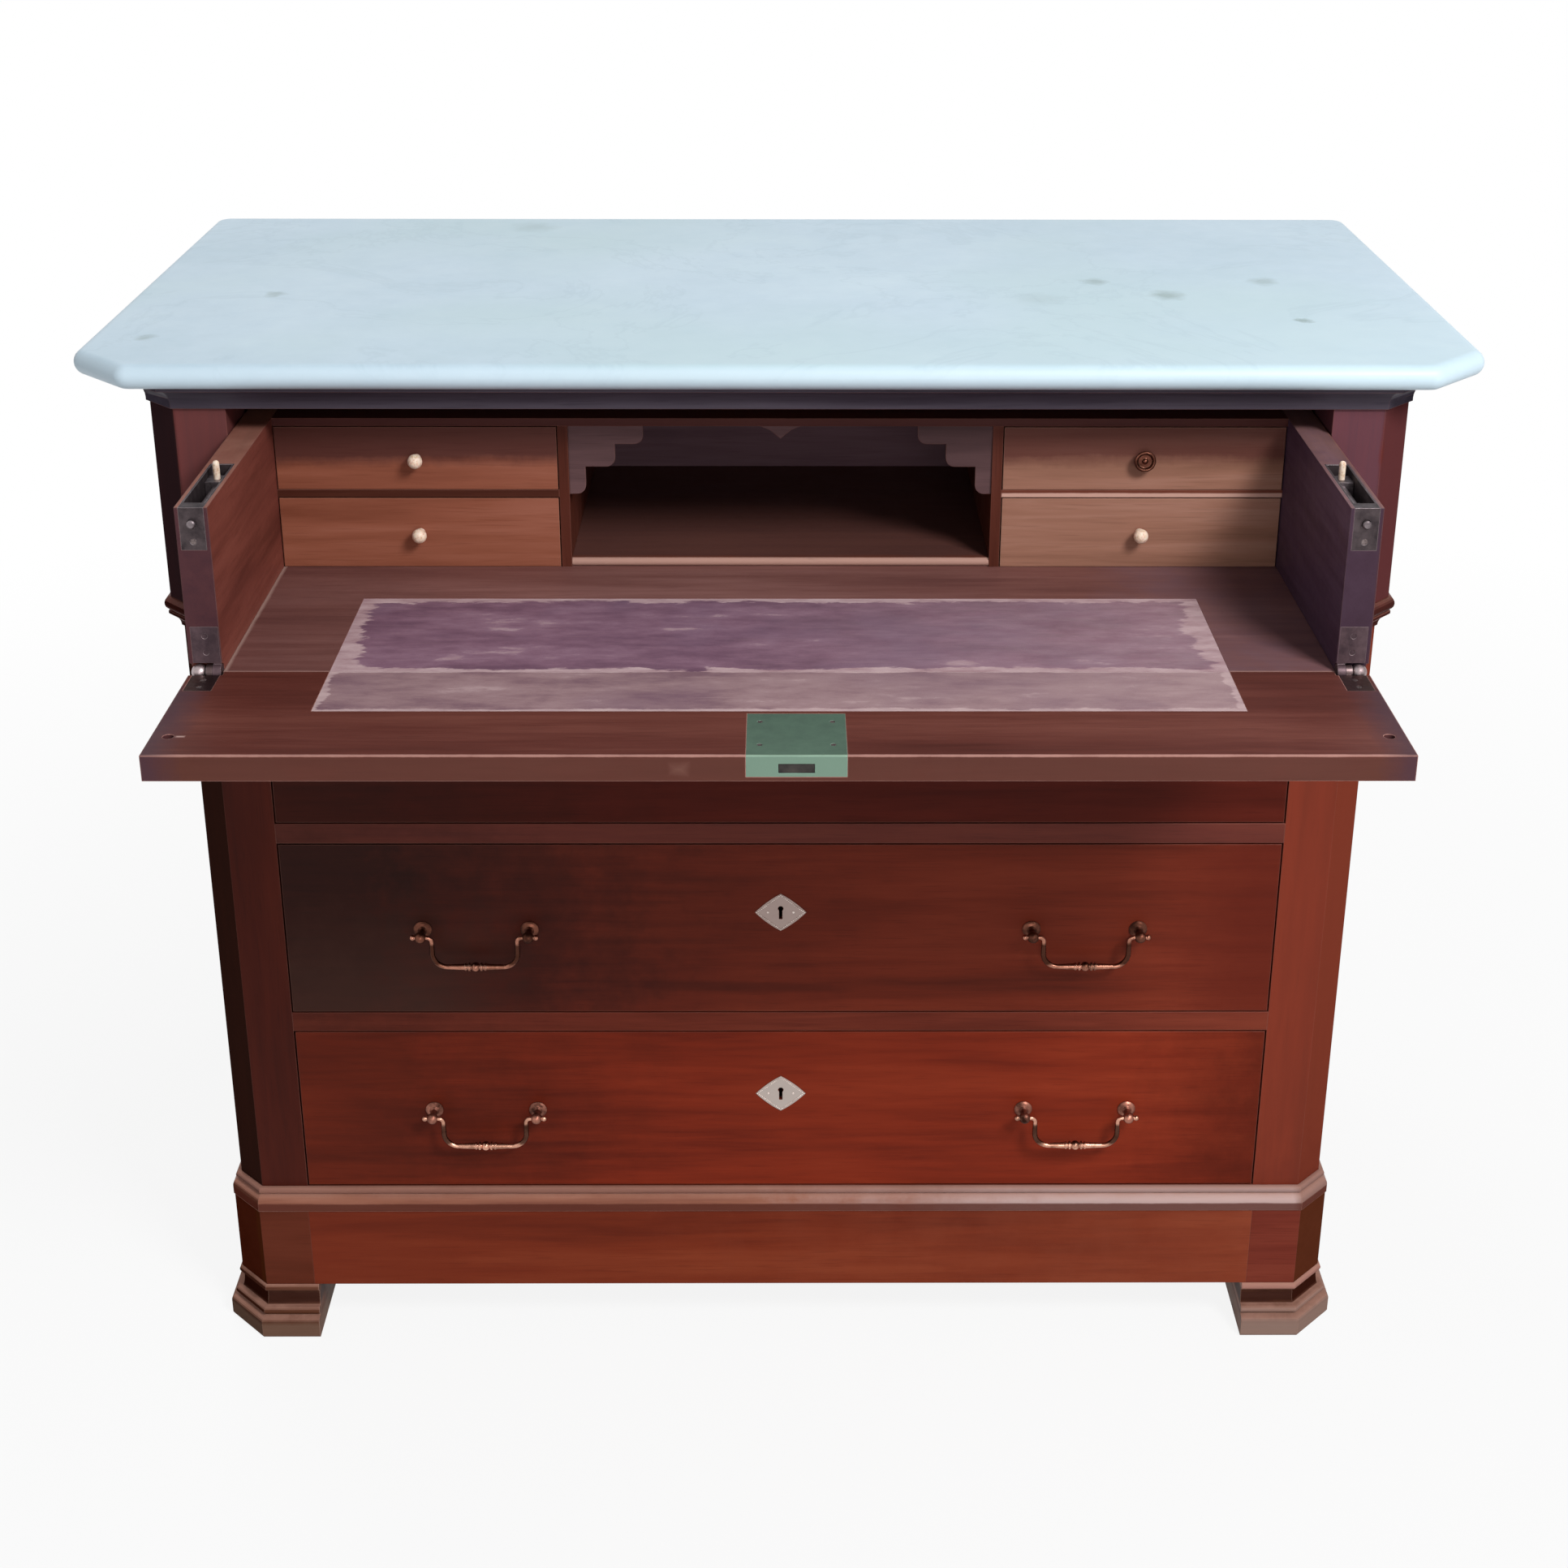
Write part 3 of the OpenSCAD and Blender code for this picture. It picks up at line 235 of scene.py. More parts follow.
def polished_mahogany(name, along, shades, seed, worn="#8f6054", wear=0.5, dusty=0.0, cants=(),
                      gloss=(0.36, 0.5), marks=()):
    """Mahogany veneer under old polish: dark, middle and light shades, with its grain along an axis.
    cants are the painted shades of the left and the right cant, darker on the left, which faces away
    from the light. Each mark is a low corner, a high corner, a soft edge, a shade and how strongly it
    covers."""
    material, tree, here = new_material(name)
    stretch = [1.0, 1.0, 1.0]
    stretch[along] = 0.07
    grain_place = put(tree, "Mapping", {"Vector": here, "Location": (seed, seed * 0.7, seed * 1.3),
                                        "Scale": stretch}).outputs[0]
    board = put(tree, "TexNoise", {"Vector": here, "Scale": per_mm(380), "Detail": 2.0})
    figure = put(tree, "TexNoise", {"Vector": grain_place, "Scale": per_mm(62), "Detail": 3.0,
                                    "Distortion": 0.5})
    streaks = put(tree, "TexNoise", {"Vector": grain_place, "Scale": per_mm(9.5), "Detail": 4.0,
                                     "Roughness": 0.55, "Distortion": 0.4})
    tone = put(tree, "Mix", {0: 0.4, 6: figure.outputs["Color"], 7: streaks.outputs["Color"]},
               data_type="RGBA").outputs[2]
    tone = put(tree, "Mix", {0: 0.25, 6: tone, 7: board.outputs["Color"]}, data_type="RGBA").outputs[2]
    colour = put(tree, "ValToRGB", {"Fac": tone},
                 [(0.38, shades[0]), (0.62, shades[2]), (0.5, shades[1])]).outputs[0]
    pore_place = put(tree, "Mapping", {"Vector": here, "Scale": [s if s == 1.0 else 0.03 for s in stretch]})
    # Real pores are about 0.2 mm wide, too fine to show, so they are drawn 1.25 mm wide
    pores = put(tree, "TexNoise", {"Vector": pore_place.outputs[0], "Scale": per_mm(1.25), "Detail": 1.0})
    in_pore = put(tree, "MapRange", {"Value": pores.outputs["Fac"], "From Min": 0.58, "From Max": 0.72,
                                     "To Max": 0.35}).outputs[0]
    colour = put(tree, "Mix", {0: in_pore, 6: colour, 7: linear(shades[0])}, data_type="RGBA").outputs[2]
    patchy = put(tree, "TexNoise", {"Vector": here, "Scale": per_mm(42), "Detail": 5.0,
                                    "Roughness": 0.7}).outputs["Fac"]
    facing = put(tree, "NewGeometry").outputs["Normal"]
    way = put(tree, "SeparateXYZ", {0: facing})
    slant = put(tree, "Math", {0: way.outputs["X"], 1: way.outputs["Y"]}, operation="MULTIPLY").outputs[0]
    # Painted shade on the cants, the left one darker, as it faces away from the light
    for sign, shade in zip((1, -1), cants):
        painted_cant_shade = put(tree, "MapRange", {"Value": slant, "From Min": 0.3 * sign, "From Max": 0.45 * sign,
                                         "To Max": 0.8}).outputs[0]
        colour = put(tree, "Mix", {0: painted_cant_shade, 6: colour, 7: linear(shade)}, data_type="RGBA").outputs[2]
    for low, high, soft, shade, cover in marks:
        place = in_box(tree, here, low, high, soft, patchy)
        share = put(tree, "Math", {0: place, 1: cover}, operation="MULTIPLY")
        colour = put(tree, "Mix", {0: share.outputs[0], 6: colour, 7: linear(shade)},
                     data_type="RGBA").outputs[2]
    arris_radius = 0.0012
    rounded = put(tree, "Bevel", {"Radius": arris_radius}, samples=6)
    if dusty:
        settled = put(tree, "MapRange", {"Value": way.outputs["Z"], "From Min": 0.4, "From Max": 0.95,
                                         "To Max": dusty * 1.6}).outputs[0]
        share = put(tree, "Math", {0: settled, 1: patchy}, operation="MULTIPLY", use_clamp=True)
        colour = put(tree, "Mix", {0: share.outputs[0], 6: colour, 7: linear("#a87c6c")},
                     data_type="RGBA").outputs[2]
    edge = put(tree, "VectorMath", {0: rounded.outputs[0], 1: facing}, operation="DOT_PRODUCT")
    rubbed = put(tree, "MapRange", {"Value": edge.outputs["Value"], "From Min": 0.97, "From Max": 0.84,
                                    "To Max": wear * 2}).outputs[0]
    rubbed_here = put(tree, "Math", {0: rubbed, 1: patchy}, operation="MULTIPLY", use_clamp=True)
    colour = put(tree, "Mix", {0: rubbed_here.outputs[0], 6: colour, 7: linear(worn)},
                 data_type="RGBA").outputs[2]
    sheen = put(tree, "MapRange", {"Value": patchy, "From Min": 0.3, "From Max": 0.7, "To Min": gloss[0],
                                   "To Max": gloss[1]}).outputs[0]
    relief = put(tree, "Bump", {"Strength": 0.1, "Distance": 0.0004, "Height": pores.outputs["Fac"],
                                "Normal": rounded.outputs[0]})
    # The polish has gone from the cants, which would otherwise mirror the pale floor
    size_of_slant = put(tree, "Math", {0: slant}, operation="ABSOLUTE").outputs[0]
    polish = put(tree, "MapRange", {"Value": size_of_slant, "From Min": 0.3, "From Max": 0.45,
                                    "To Min": 0.07, "To Max": 0.0}).outputs[0]
    finished(tree, Base_Color=colour, Roughness=sheen, Specular_IOR_Level=polish, Normal=relief.outputs[0])
    return material


post_low, post_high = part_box("front_posts")
waist_low, waist_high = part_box("waist_moulding")
beyond = Vector((0.1, 0.1, 0.1))
# Marks on the posts: painted shade on the left post below the waist and on the upper left cant,
# painted light on the right post below the waist, grey-purple upper flats, a darker upper right cant
# and a darker right post near the floor
painted_shade_left_posts = (post_low - beyond, (post_low.x + 0.09, post_high.y, waist_low.z), 0.006, "#1c120f", 0.6)
painted_light_right_posts = ((post_high.x - 0.09, post_low.y - 0.1, post_low.z - 0.1),
              (post_high.x + 0.1, post_high.y, waist_low.z), 0.006, "#883f2d", 0.4)
cant_size = 0.026
upper_left = ((post_low.x + cant_size, post_low.y - 0.1, waist_high.z),
              (0, post_high.y, post_high.z + 0.1), 0.002, "#6b4446", 0.55)
upper_right = ((0, post_low.y - 0.1, waist_high.z),
               (post_high.x - cant_size, post_high.y, post_high.z + 0.1), 0.002, "#5b4350", 0.6)
painted_shade_left_cant = ((post_low.x - 0.1, post_low.y - 0.1, waist_high.z),
             (post_low.x + cant_size, post_high.y, post_high.z + 0.1), 0.002, "#251d24", 0.68)
upper_cant = ((post_high.x - cant_size, post_low.y - 0.1, waist_high.z), post_high + beyond, 0.002,
              "#4a2d33", 0.6)
dark_foot = ((0, post_low.y - 0.1, post_low.z - 0.1), (post_high.x + 0.1, post_high.y, post_low.z + 0.1),
             0.07, "#4f1e17", 0.5)
post_wood = polished_mahogany("mahogany_posts", 2, ("#3f130a", "#611f12", "#762a19"), 1.7,
                              cants=("#3b251e", "#5f2a20"),
                              marks=[painted_shade_left_posts, painted_light_right_posts, dark_foot, upper_left, upper_right, painted_shade_left_cant,
                                     upper_cant])
# The rails are greyer above the middle drawer, and painted shade darkens them towards the left
top_rail = ((-1, -1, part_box("middle_drawer_front")[1].z), (1, 1, 1), 0.001, "#452f30", 0.35)
painted_shade_left_rails = ((-2, -1, -1), (post_low.x + 0.2, 1, 2), 0.14, "#1b0f0c", 0.5)
rail_wood = polished_mahogany("mahogany_rails", 0, ("#481b12", "#682b1e", "#7c3827"), 0.3,
                              marks=[top_rail, painted_shade_left_rails])
moulding_wood = polished_mahogany("mahogany_mouldings", 0, ("#3a1512", "#552019", "#6a2c22"), 0.9,
                                  dusty=0.25, cants=("#2a1512", "#3a1f1c"))
# The top moulding is painted dark grey-purple as the shade beneath the marble's overhang
shaded_wood = polished_mahogany("mahogany_top_moulding", 0, ("#2f2a33", "#3e3741", "#4f4852"), 1.3)
# The plinth is painted paler towards the right, where the light falls, and darker towards the left as
# painted shade
plinth_wood = polished_mahogany("mahogany_plinth", 0, ("#561d0f", "#722c17", "#823a22"), 2.9, wear=0.2,
                                marks=[((0.3, -1, -1), (2, 2, 1), 0.4, "#8c4a35", 0.35),
                                       ((-2, -1, -1), (-0.3, 2, 1), 0.3, "#6a2818", 0.5)])
block_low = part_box("plinth_blocks")[0]
# Painted shade darkens the left block's front
painted_shade_left_block = ((block_low.x + cant_size, -1, -1), (0, 2, 1), 0.001, "#4a2510", 0.5)
block_wood = polished_mahogany("mahogany_plinth_blocks", 0, ("#50190f", "#6b2b1f", "#7a3728"), 4.7,
                               wear=0.2, cants=("#361407", "#4a2716"), marks=[painted_shade_left_block])
ledge_low, ledge_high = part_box("plinth_moulding")
ledge_end = ledge_high.x - cant_size - 0.01
# The moulding's pale shades are partly dust and wear and partly a painted highlight of the light from
# above, its paler right part is a painted highlight, and painted shade lies under its bead. Its right cant
# is kept out of the highlight and its top step is duller.
painted_highlight_right = ((0.13, -1, -1), (2, 2, 1), 0.13, "#c6b2b0", 0.62)
right_cant = ((ledge_end, -1, -1), (2, 2, 1), 0.004, "#7a5346", 0.75)
upper_step = ((-1, -1, ledge_high.z - 0.0072), (1, 2, 1), 0.001, "#7d5c54", 0.55)
painted_shade_under_bead = (ledge_low - beyond, (1, ledge_high.y + 0.1, ledge_low.z + 0.0085), 0.0008, "#55281f", 0.88)
ledge_wood = polished_mahogany("mahogany_plinth_moulding", 0, ("#6f4034", "#8d5a48", "#a77463"), 3.3,
                               worn="#b88a7c", wear=0.8, dusty=0.6, cants=("#4a241a", "#6a3a2e"),
                               marks=[painted_highlight_right, right_cant, upper_step, painted_shade_under_bead])
foot_low, foot_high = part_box("feet_front")
# The feet's base is rubbed pale, paler on the right. Painted shade lies in the cove, and the right foot has
# painted highlights along its step and its top.
pale_base = (foot_low - beyond, (1, foot_high.y + 0.1, foot_low.z + 0.017), 0.003, "#80695a", 0.4)
painted_shade_cove = ((foot_low.x - 0.1, foot_low.y - 0.1, foot_low.z + 0.031),
             (1, foot_high.y + 0.1, foot_high.z - 0.009), 0.003, "#260c07", 0.8)
right_base = ((0, foot_low.y - 0.1, foot_low.z - 0.1), (1, foot_high.y + 0.1, foot_low.z + 0.022), 0.003,
              "#a58a80", 0.45)
painted_highlight_step = ((0, foot_low.y - 0.1, foot_low.z + 0.0238), (1, foot_high.y + 0.1, foot_low.z + 0.0300),
             0.001, "#b08f83", 0.5)
painted_highlight_top = ((0, foot_low.y - 0.1, foot_high.z - 0.007), (1, foot_high.y + 0.1, foot_high.z + 0.1), 0.001,
            "#bd8a7e", 0.55)
foot_wood = polished_mahogany("mahogany_feet", 0, ("#3a1a12", "#55301f", "#6c4436"), 5.1, worn="#a5806f",
                              wear=1.0, dusty=0.8, cants=("#35170f", "#4a271c"), gloss=(0.5, 0.7),
                              marks=[pale_base, painted_shade_cove, right_base, painted_highlight_step, painted_highlight_top])
end_wood = polished_mahogany("mahogany_ends", 2, ("#43160d", "#5f2115", "#702b1d"), 2.3, gloss=(0.44, 0.5))
clothe(["front_posts"], post_wood)
clothe(["side_panels"], end_wood)
clothe(["drawer_rails"], rail_wood)
clothe(["waist_moulding"], moulding_wood)
clothe(["top_moulding"], shaded_wood)
clothe(["plinth_panels"], plinth_wood)
clothe(["plinth_blocks"], block_wood)
clothe(["plinth_moulding"], ledge_wood)
clothe(["feet_front", "feet_back"], foot_wood)


# Fronts of the long drawers: one veneered board each, so that the figure differs from one to the
# next. A painted shadow darkens them towards the left, deepest on the middle one and lighter at its
# lower left, and the upper front is darker all over as painted shade beneath the fall front. The
# middle and lower fronts are also darker at their right ends.
levels = ("upper", "middle", "lower")
front_shades = {"upper": ("#330c07", "#46140b", "#541b11"), "middle": ("#4a1b11", "#672617", "#79311f"),
                "lower": ("#561a0e", "#782815", "#8a341d")}
painted_shadow_cover = {"upper": 0.45, "middle": 0.76, "lower": 0.42}
for seed, (level, shades) in enumerate(front_shades.items()):
    low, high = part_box(level + "_drawer_front")
    painted_shadow_left = ((-2, -1, -1), (low.x + 0.22, 1, 2), 0.14, "#0e100b", painted_shadow_cover[level])
    marks = [painted_shadow_left]
    if level == "middle":
        marks.append(((-2, -1, -1), (low.x + 0.40, 1, 2), 0.16, "#1c1013", 0.35))
        marks.append(((-2, -1, -1), (low.x + 0.17, 1, low.z + 0.075), 0.05, "#51342b", 0.35))
        marks.append(((high.x - 0.07, -1, -1), (2, 1, 2), 0.04, "#54190f", 0.6))
    if level == "lower":
        marks.append(((high.x - 0.06, -1, -1), (2, 1, 2), 0.07, "#431308", 0.7))
    clothe([level + "_drawer_front"],
           polished_mahogany("mahogany_front_" + level, 0, shades, 11.0 + 3.7 * seed, marks=marks))


# Insides and back: boards, runners and drawer boxes of deal, planed, nailed or dovetailed, and left
# bare. The wood has gone grey-brown with dust.
def bare_deal(name, along, shades, seed=0.0):
    """Planed softwood with straight growth rings, up to 11 mm apart, along an axis."""
    material, tree, here = new_material(name)
    stretch = [1.0, 1.0, 1.0]
    stretch[along] = 0.05
    place = put(tree, "Mapping", {"Vector": here, "Location": (seed, seed, seed), "Scale": stretch})
    rings_of_growth = put(tree, "TexNoise", {"Vector": place.outputs[0], "Scale": per_mm(11), "Detail": 4.0,
                                             "Distortion": 0.4})
    dust = put(tree, "TexNoise", {"Vector": here, "Scale": per_mm(170), "Detail": 4.0})
    tone = put(tree, "Mix", {0: 0.35, 6: rings_of_growth.outputs["Color"], 7: dust.outputs["Color"]},
               data_type="RGBA").outputs[2]
    shade = put(tree, "ValToRGB", {"Fac": tone}, [(0.36, shades[0]), (0.62, shades[2]), (0.5, shades[1])])
    rounded = put(tree, "Bevel", {"Radius": 0.001}, samples=4)
    relief = put(tree, "Bump", {"Strength": 0.3, "Distance": 0.0005,
                                "Height": rings_of_growth.outputs["Fac"], "Normal": rounded.outputs[0]})
    finished(tree, Base_Color=shade.outputs[0], Roughness=0.78, Specular_IOR_Level=0.2,
             Normal=relief.outputs[0])
    return material


deal_upright = bare_deal("bare_deal_upright", 2, ("#6a4a2f", "#8d6843", "#a88258"))
deal_across = bare_deal("bare_deal_across", 0, ("#6a4a2f", "#916c46", "#ad875c"), 0.8)
deal_inwards = bare_deal("bare_deal_inwards", 1, ("#64462d", "#8a6541", "#a27d54"), 1.9)
clothe(["back_panel"], deal_upright)
clothe(["top_frame", "bottom_board"], deal_across)
clothe(["drawer_runners", "upper_drawer_box", "middle_drawer_box", "lower_drawer_box"], deal_inwards)


# Ends of the dovetails that fix each long drawer's sides to its front: deal, sawn across the grain
# and planed flush, seen in the mahogany when the drawer is open.
def prism(bm, outline, low, high, place):
    """A solid of an outline between two heights, set in place by a matrix."""
    ends = [[bm.verts.new(place @ Vector((x, y, z))) for x, y in outline] for z in (low, high)]
    count = len(outline)
    for i in range(count):
        following = (i + 1) % count
        bm.faces.new([ends[0][i], ends[0][following], ends[1][following], ends[1][i]])
    bm.faces.new(ends[0][::-1])
    bm.faces.new(ends[1])


tails = 4
tail_from = 0.006
tail_proud = 0.0002
tail_sunk = 0.0002
broad_end = 0.37
narrow_end = 0.28
for level in levels:
    low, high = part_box(level + "_drawer_front")
    back_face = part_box(level + "_drawer_box")[0].y
    pitch = (high.z - low.z) / tails
    bm = bmesh.new()
    for side in (-1, 1):
        turned = Matrix(((0, 0, side, 0), (1, 0, 0, 0), (0, 1, 0, 0), (0, 0, 0, 1)))
        place = Matrix.Translation((side * (high.x - tail_sunk), 0, 0)) @ turned
        for i in range(tails):
            middle = low.z + (i + 0.5) * pitch
            outline = [(low.y + tail_from, middle - broad_end * pitch),
                       (low.y + tail_from, middle + broad_end * pitch),
                       (back_face, middle + narrow_end * pitch), (back_face, middle - narrow_end * pitch)]
            prism(bm, outline, 0, tail_sunk + tail_proud, place)
    mesh_piece(level + "_drawer_dovetails", level + "_drawer", deal_inwards, bm)


# Nails in the back boards: forged iron nails with dark rose heads, driven in from behind, two across
# each board in three rows.
def old_metal(name, bright, dull, roughness, patch=17, low=0.35, high=0.65, metallic=1.0, rim=None,
              rim_width=0.0004, marks=()):
    """Metal with patches of tarnish patch mm wide, and rubbed rims where rim names a shade."""
    material, tree, here = new_material(name)
    tarnish = put(tree, "TexNoise", {"Vector": here, "Scale": per_mm(patch), "Detail": 5.0,
                                     "Roughness": 0.65}).outputs["Fac"]
    cover = put(tree, "MapRange", {"Value": tarnish, "From Min": low, "From Max": high}).outputs[0]
    colour = put(tree, "Mix", {0: cover, 6: linear(bright), 7: linear(dull)}, data_type="RGBA").outputs[2]
    for lowest, highest, soft, shade, share in marks:
        place = in_box(tree, here, lowest, highest, soft, tarnish)
        part = put(tree, "Math", {0: place, 1: share}, operation="MULTIPLY")
        colour = put(tree, "Mix", {0: part.outputs[0], 6: colour, 7: linear(shade)},
                     data_type="RGBA").outputs[2]
    rounded = put(tree, "Bevel", {"Radius": rim_width}, samples=6)
    if rim:
        facing = put(tree, "NewGeometry").outputs["Normal"]
        edge = put(tree, "VectorMath", {0: rounded.outputs[0], 1: facing}, operation="DOT_PRODUCT")
        on_rim = put(tree, "MapRange", {"Value": edge.outputs["Value"], "From Min": 0.98,
                                        "From Max": 0.86, "To Max": 0.9}).outputs[0]
        colour = put(tree, "Mix", {0: on_rim, 6: colour, 7: linear(rim)}, data_type="RGBA").outputs[2]
    gloss = put(tree, "MapRange", {"Value": cover,
                                   "To Min": roughness[0], "To Max": roughness[1]}).outputs[0]
    # Grain of cast or forged metal, drawn 1.1 mm wide because the real one is too fine to show
    fine = put(tree, "TexNoise", {"Vector": here, "Scale": per_mm(1.1), "Detail": 3.0})
    relief = put(tree, "Bump", {"Strength": 0.15, "Distance": 0.0002, "Height": fine.outputs["Fac"],
                                "Normal": rounded.outputs[0]})
    finished(tree, Base_Color=colour, Roughness=gloss, Metallic=metallic, Normal=relief.outputs[0])
    return material


nail_iron = old_metal("forged_iron", "#4a4340", "#2a2220", (0.5, 0.75))
back_low, back_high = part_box("back_panel")
boards = 6
board_width = (back_high.x - back_low.x) / boards
nail_radius = 0.0035
nail_shares = (0.17, 0.83)
nail_rows = (back_low.z + 0.1, (back_low.z + back_high.z) / 2, back_high.z - 0.02)
squashed = Matrix.Diagonal((1, 0.3, 1, 1))
bm = bmesh.new()
for i in range(boards):
    for across in nail_shares:
        for z in nail_rows:
            place = Matrix.Translation((back_low.x + (i + across) * board_width, back_high.y, z))
            bmesh.ops.create_icosphere(bm, subdivisions=1, radius=nail_radius, matrix=place @ squashed)
mesh_piece("back_nails", "carcass", nail_iron, bm, 20)


# Writing drawer: sides of mahogany, a floor, and a gallery of small drawers beside a pigeonhole. Its
# wood is lighter and browner than the case, because the light hasn't reached it. Its back is stained.
floor_low, floor_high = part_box("secretary_floor")
gallery_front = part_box("gallery_shelves")[0].y
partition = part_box("gallery_partitions")[1].x
side_low, side_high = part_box("secretary_side_left")
drawer_ends = (side_low - Vector((0.1, 0.01, 0.1)), (0.5, side_low.y + 0.0006, side_high.z + 0.1), 0.0003,
               "#392832", 0.75)
side_wood = polished_mahogany("mahogany_writing_side", 1, ("#4f2620", "#6f3a31", "#83493e"), 4.1,
                              worn="#80605a", dusty=0.5, marks=[drawer_ends])
# The right side's inner face, which faces away from the main lamp, is painted grey-purple as shade;
# its outer face is kept plain brown
outer_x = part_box("secretary_side_right")[1].x
outer_face = ((outer_x - 0.001, -2, -2), (2, 2, 2), 0.0005, "#5d3029", 0.85)
painted_shade_side_wood = polished_mahogany("mahogany_writing_side_right", 1, ("#382835", "#4d384a", "#5f4a5d"), 4.9,
                                  worn="#7a6062", dusty=0.4, marks=[outer_face, drawer_ends])
joint_line = ((floor_low.x - 0.01, floor_low.y, floor_high.z - 0.01),
              (floor_low.x + 0.0028, gallery_front, floor_high.z + 0.01), 0.0012, "#a5887f", 0.8)
hinge_line = ((floor_low.x, floor_low.y - 0.01, floor_high.z - 0.01),
              (floor_high.x, floor_low.y + 0.0022, floor_high.z + 0.01), 0.0012, "#8f6f68", 0.7)
# The floor is greyer and more mauve towards its right end
greyer_right_floor = ((0.32, floor_low.y - 0.1, floor_high.z - 0.01),
              (floor_high.x + 0.2, gallery_front + 0.1, floor_high.z + 0.01), 0.05, "#695561", 0.6)
dark_left = ((floor_low.x - 0.2, floor_low.y - 0.1, floor_high.z - 0.01),
             (-0.34, gallery_front + 0.1, floor_high.z + 0.01), 0.05, "#3f2a2a", 0.25)
floor_wood = polished_mahogany("mahogany_floor", 0, ("#553230", "#724a45", "#865d58"), 6.7,
                               marks=[greyer_right_floor, dark_left, joint_line, hinge_line])
upper_drawer_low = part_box("small_drawer_upper_right")[0]
lower_drawer_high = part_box("small_drawer_lower_right")[1]
shelf_middle = (lower_drawer_high.z + upper_drawer_low.z) / 2
nose_line = ((-partition, gallery_front - 0.01, floor_high.z - 0.01),
             (partition, gallery_front + 0.003, floor_high.z + 0.012), 0.0006, "#b58f82", 0.8)
pale_shelf = ((partition, gallery_front - 0.01, shelf_middle - 0.0032),
              (0.5, gallery_front + 0.003, shelf_middle + 0.0008), 0.0006, "#c29a8c", 0.9)
# Painted shade on the left shelf's edge beneath the upper drawer, on the top board above the small drawers
# and on the pigeonhole's floor behind its nosing
painted_shade_left_shelf = ((-0.5, gallery_front - 0.01, shelf_middle - 0.01),
              (-partition, gallery_front + 0.003, shelf_middle + 0.01), 0.0006, "#2e140d", 0.7)
painted_shade_top_board = ((-0.6, gallery_front - 0.01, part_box("small_drawer_upper_right")[1].z + 0.0005), (0.6, 1, 1),
             0.001, "#2c1a22", 0.6)
painted_shade_pigeonhole_floor = ((-partition, gallery_front + 0.006, floor_high.z - 0.01),
             (partition, gallery_front + 0.3, floor_high.z + 0.02), 0.004, "#4c3634", 0.65)
partition_wood = polished_mahogany("mahogany_partitions", 2, ("#3a1b14", "#4f261c", "#61342a"), 5.9)
gallery_wood = polished_mahogany("mahogany_gallery", 0, ("#4c241a", "#643427", "#764334"), 5.3,
                                 marks=[nose_line, pale_shelf, painted_shade_left_shelf, painted_shade_pigeonhole_floor, painted_shade_top_board])
# The upper small drawers are painted darker over their upper part, as shade beneath the marble's overhang
shade_from = (-0.6, gallery_front - 0.02, upper_drawer_low.z + 0.026)
shade_to = (0.6, 0.5, 1)
left_wood = polished_mahogany("mahogany_drawers_left", 0, ("#6f3c2b", "#88503d", "#9a6250"), 7.9,
                              worn="#9b6f5e", marks=[(shade_from, shade_to, 0.006, "#3c2022", 0.77)])
right_wood = polished_mahogany("mahogany_drawers_right", 0, ("#745040", "#906655", "#a47b6c"), 9.1,
                               worn="#ad8574", marks=[(shade_from, shade_to, 0.006, "#4a2020", 0.72)])
valance_wood = polished_mahogany("mahogany_valance", 0, ("#422f30", "#594243", "#6b5051"), 8.7)
stained_back = polished_mahogany("stained_back", 0, ("#4d363d", "#62484f", "#735960"), 2.2,
                                 gloss=(0.55, 0.7))
clothe(["secretary_side_left"], side_wood)
clothe(["secretary_side_right"], painted_shade_side_wood)
clothe(["secretary_floor"], floor_wood)
clothe(["gallery_partitions"], partition_wood)
clothe(["gallery_shelves"], gallery_wood)
clothe(["pigeonhole_valance"], valance_wood)
clothe(["secretary_back"], stained_back)
clothe(["small_drawer_lower_left", "small_drawer_upper_left"], left_wood)
clothe(["small_drawer_lower_right", "small_drawer_upper_right"], right_wood)


# Fall front: a mahogany board with grain from end to end. Hands have rubbed its front arris to a
# pale line, and its two ends and the places round the strike holes are scuffed grey.
fall_low, fall_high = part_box("fall_panel")
a_little = Vector((0.01, 0.01, 0.01))
edge_face = (fall_low - a_little, (fall_high.x + 0.01, fall_low.y + 0.0008, fall_high.z - 0.001), 0.0008,
             "#56332b", 0.8)
rubbed_line = ((fall_low.x - 0.01, fall_low.y - 0.01, fall_high.z - 0.0006),
               (fall_high.x + 0.01, fall_low.y + 0.0026, fall_high.z + 0.01), 0.0007, "#b88a80", 0.8)
greyed_right = ((0.25, -2, -2), (2, 2, 2), 0.15, "#805a58", 0.07)
marks = [greyed_right, edge_face, rubbed_line]
for side in (-1, 1):
    middle = side * fall_high.x
    marks.append(((middle - 0.016, fall_low.y - 0.05, fall_high.z - 0.06),
                  (middle + 0.016, fall_high.y - 0.05, fall_high.z + 0.05), 0.012, "#463039", 0.8))
nick = Vector((-0.4485, fall_low.y + 0.0345, fall_high.z))
nick_reach = Vector((0.003, 0.001, 0.01))
marks.append((nick - nick_reach, nick + nick_reach, 0.0012, "#c9a89f", 0.9))
scar = Vector((-0.075, fall_low.y, fall_high.z - 0.011))
scar_reach = Vector((0.004, 0.01, 0.002))
marks.append((scar - scar_reach, scar + scar_reach, 0.004, "#7e584e", 0.45))
fall_wood = polished_mahogany("mahogany_fall", 0, ("#3f1c17", "#592d26", "#6d3e35"), 8.3, worn="#b5857a",
                              wear=1.3, marks=marks)
clothe(["fall_panel"], fall_wood)


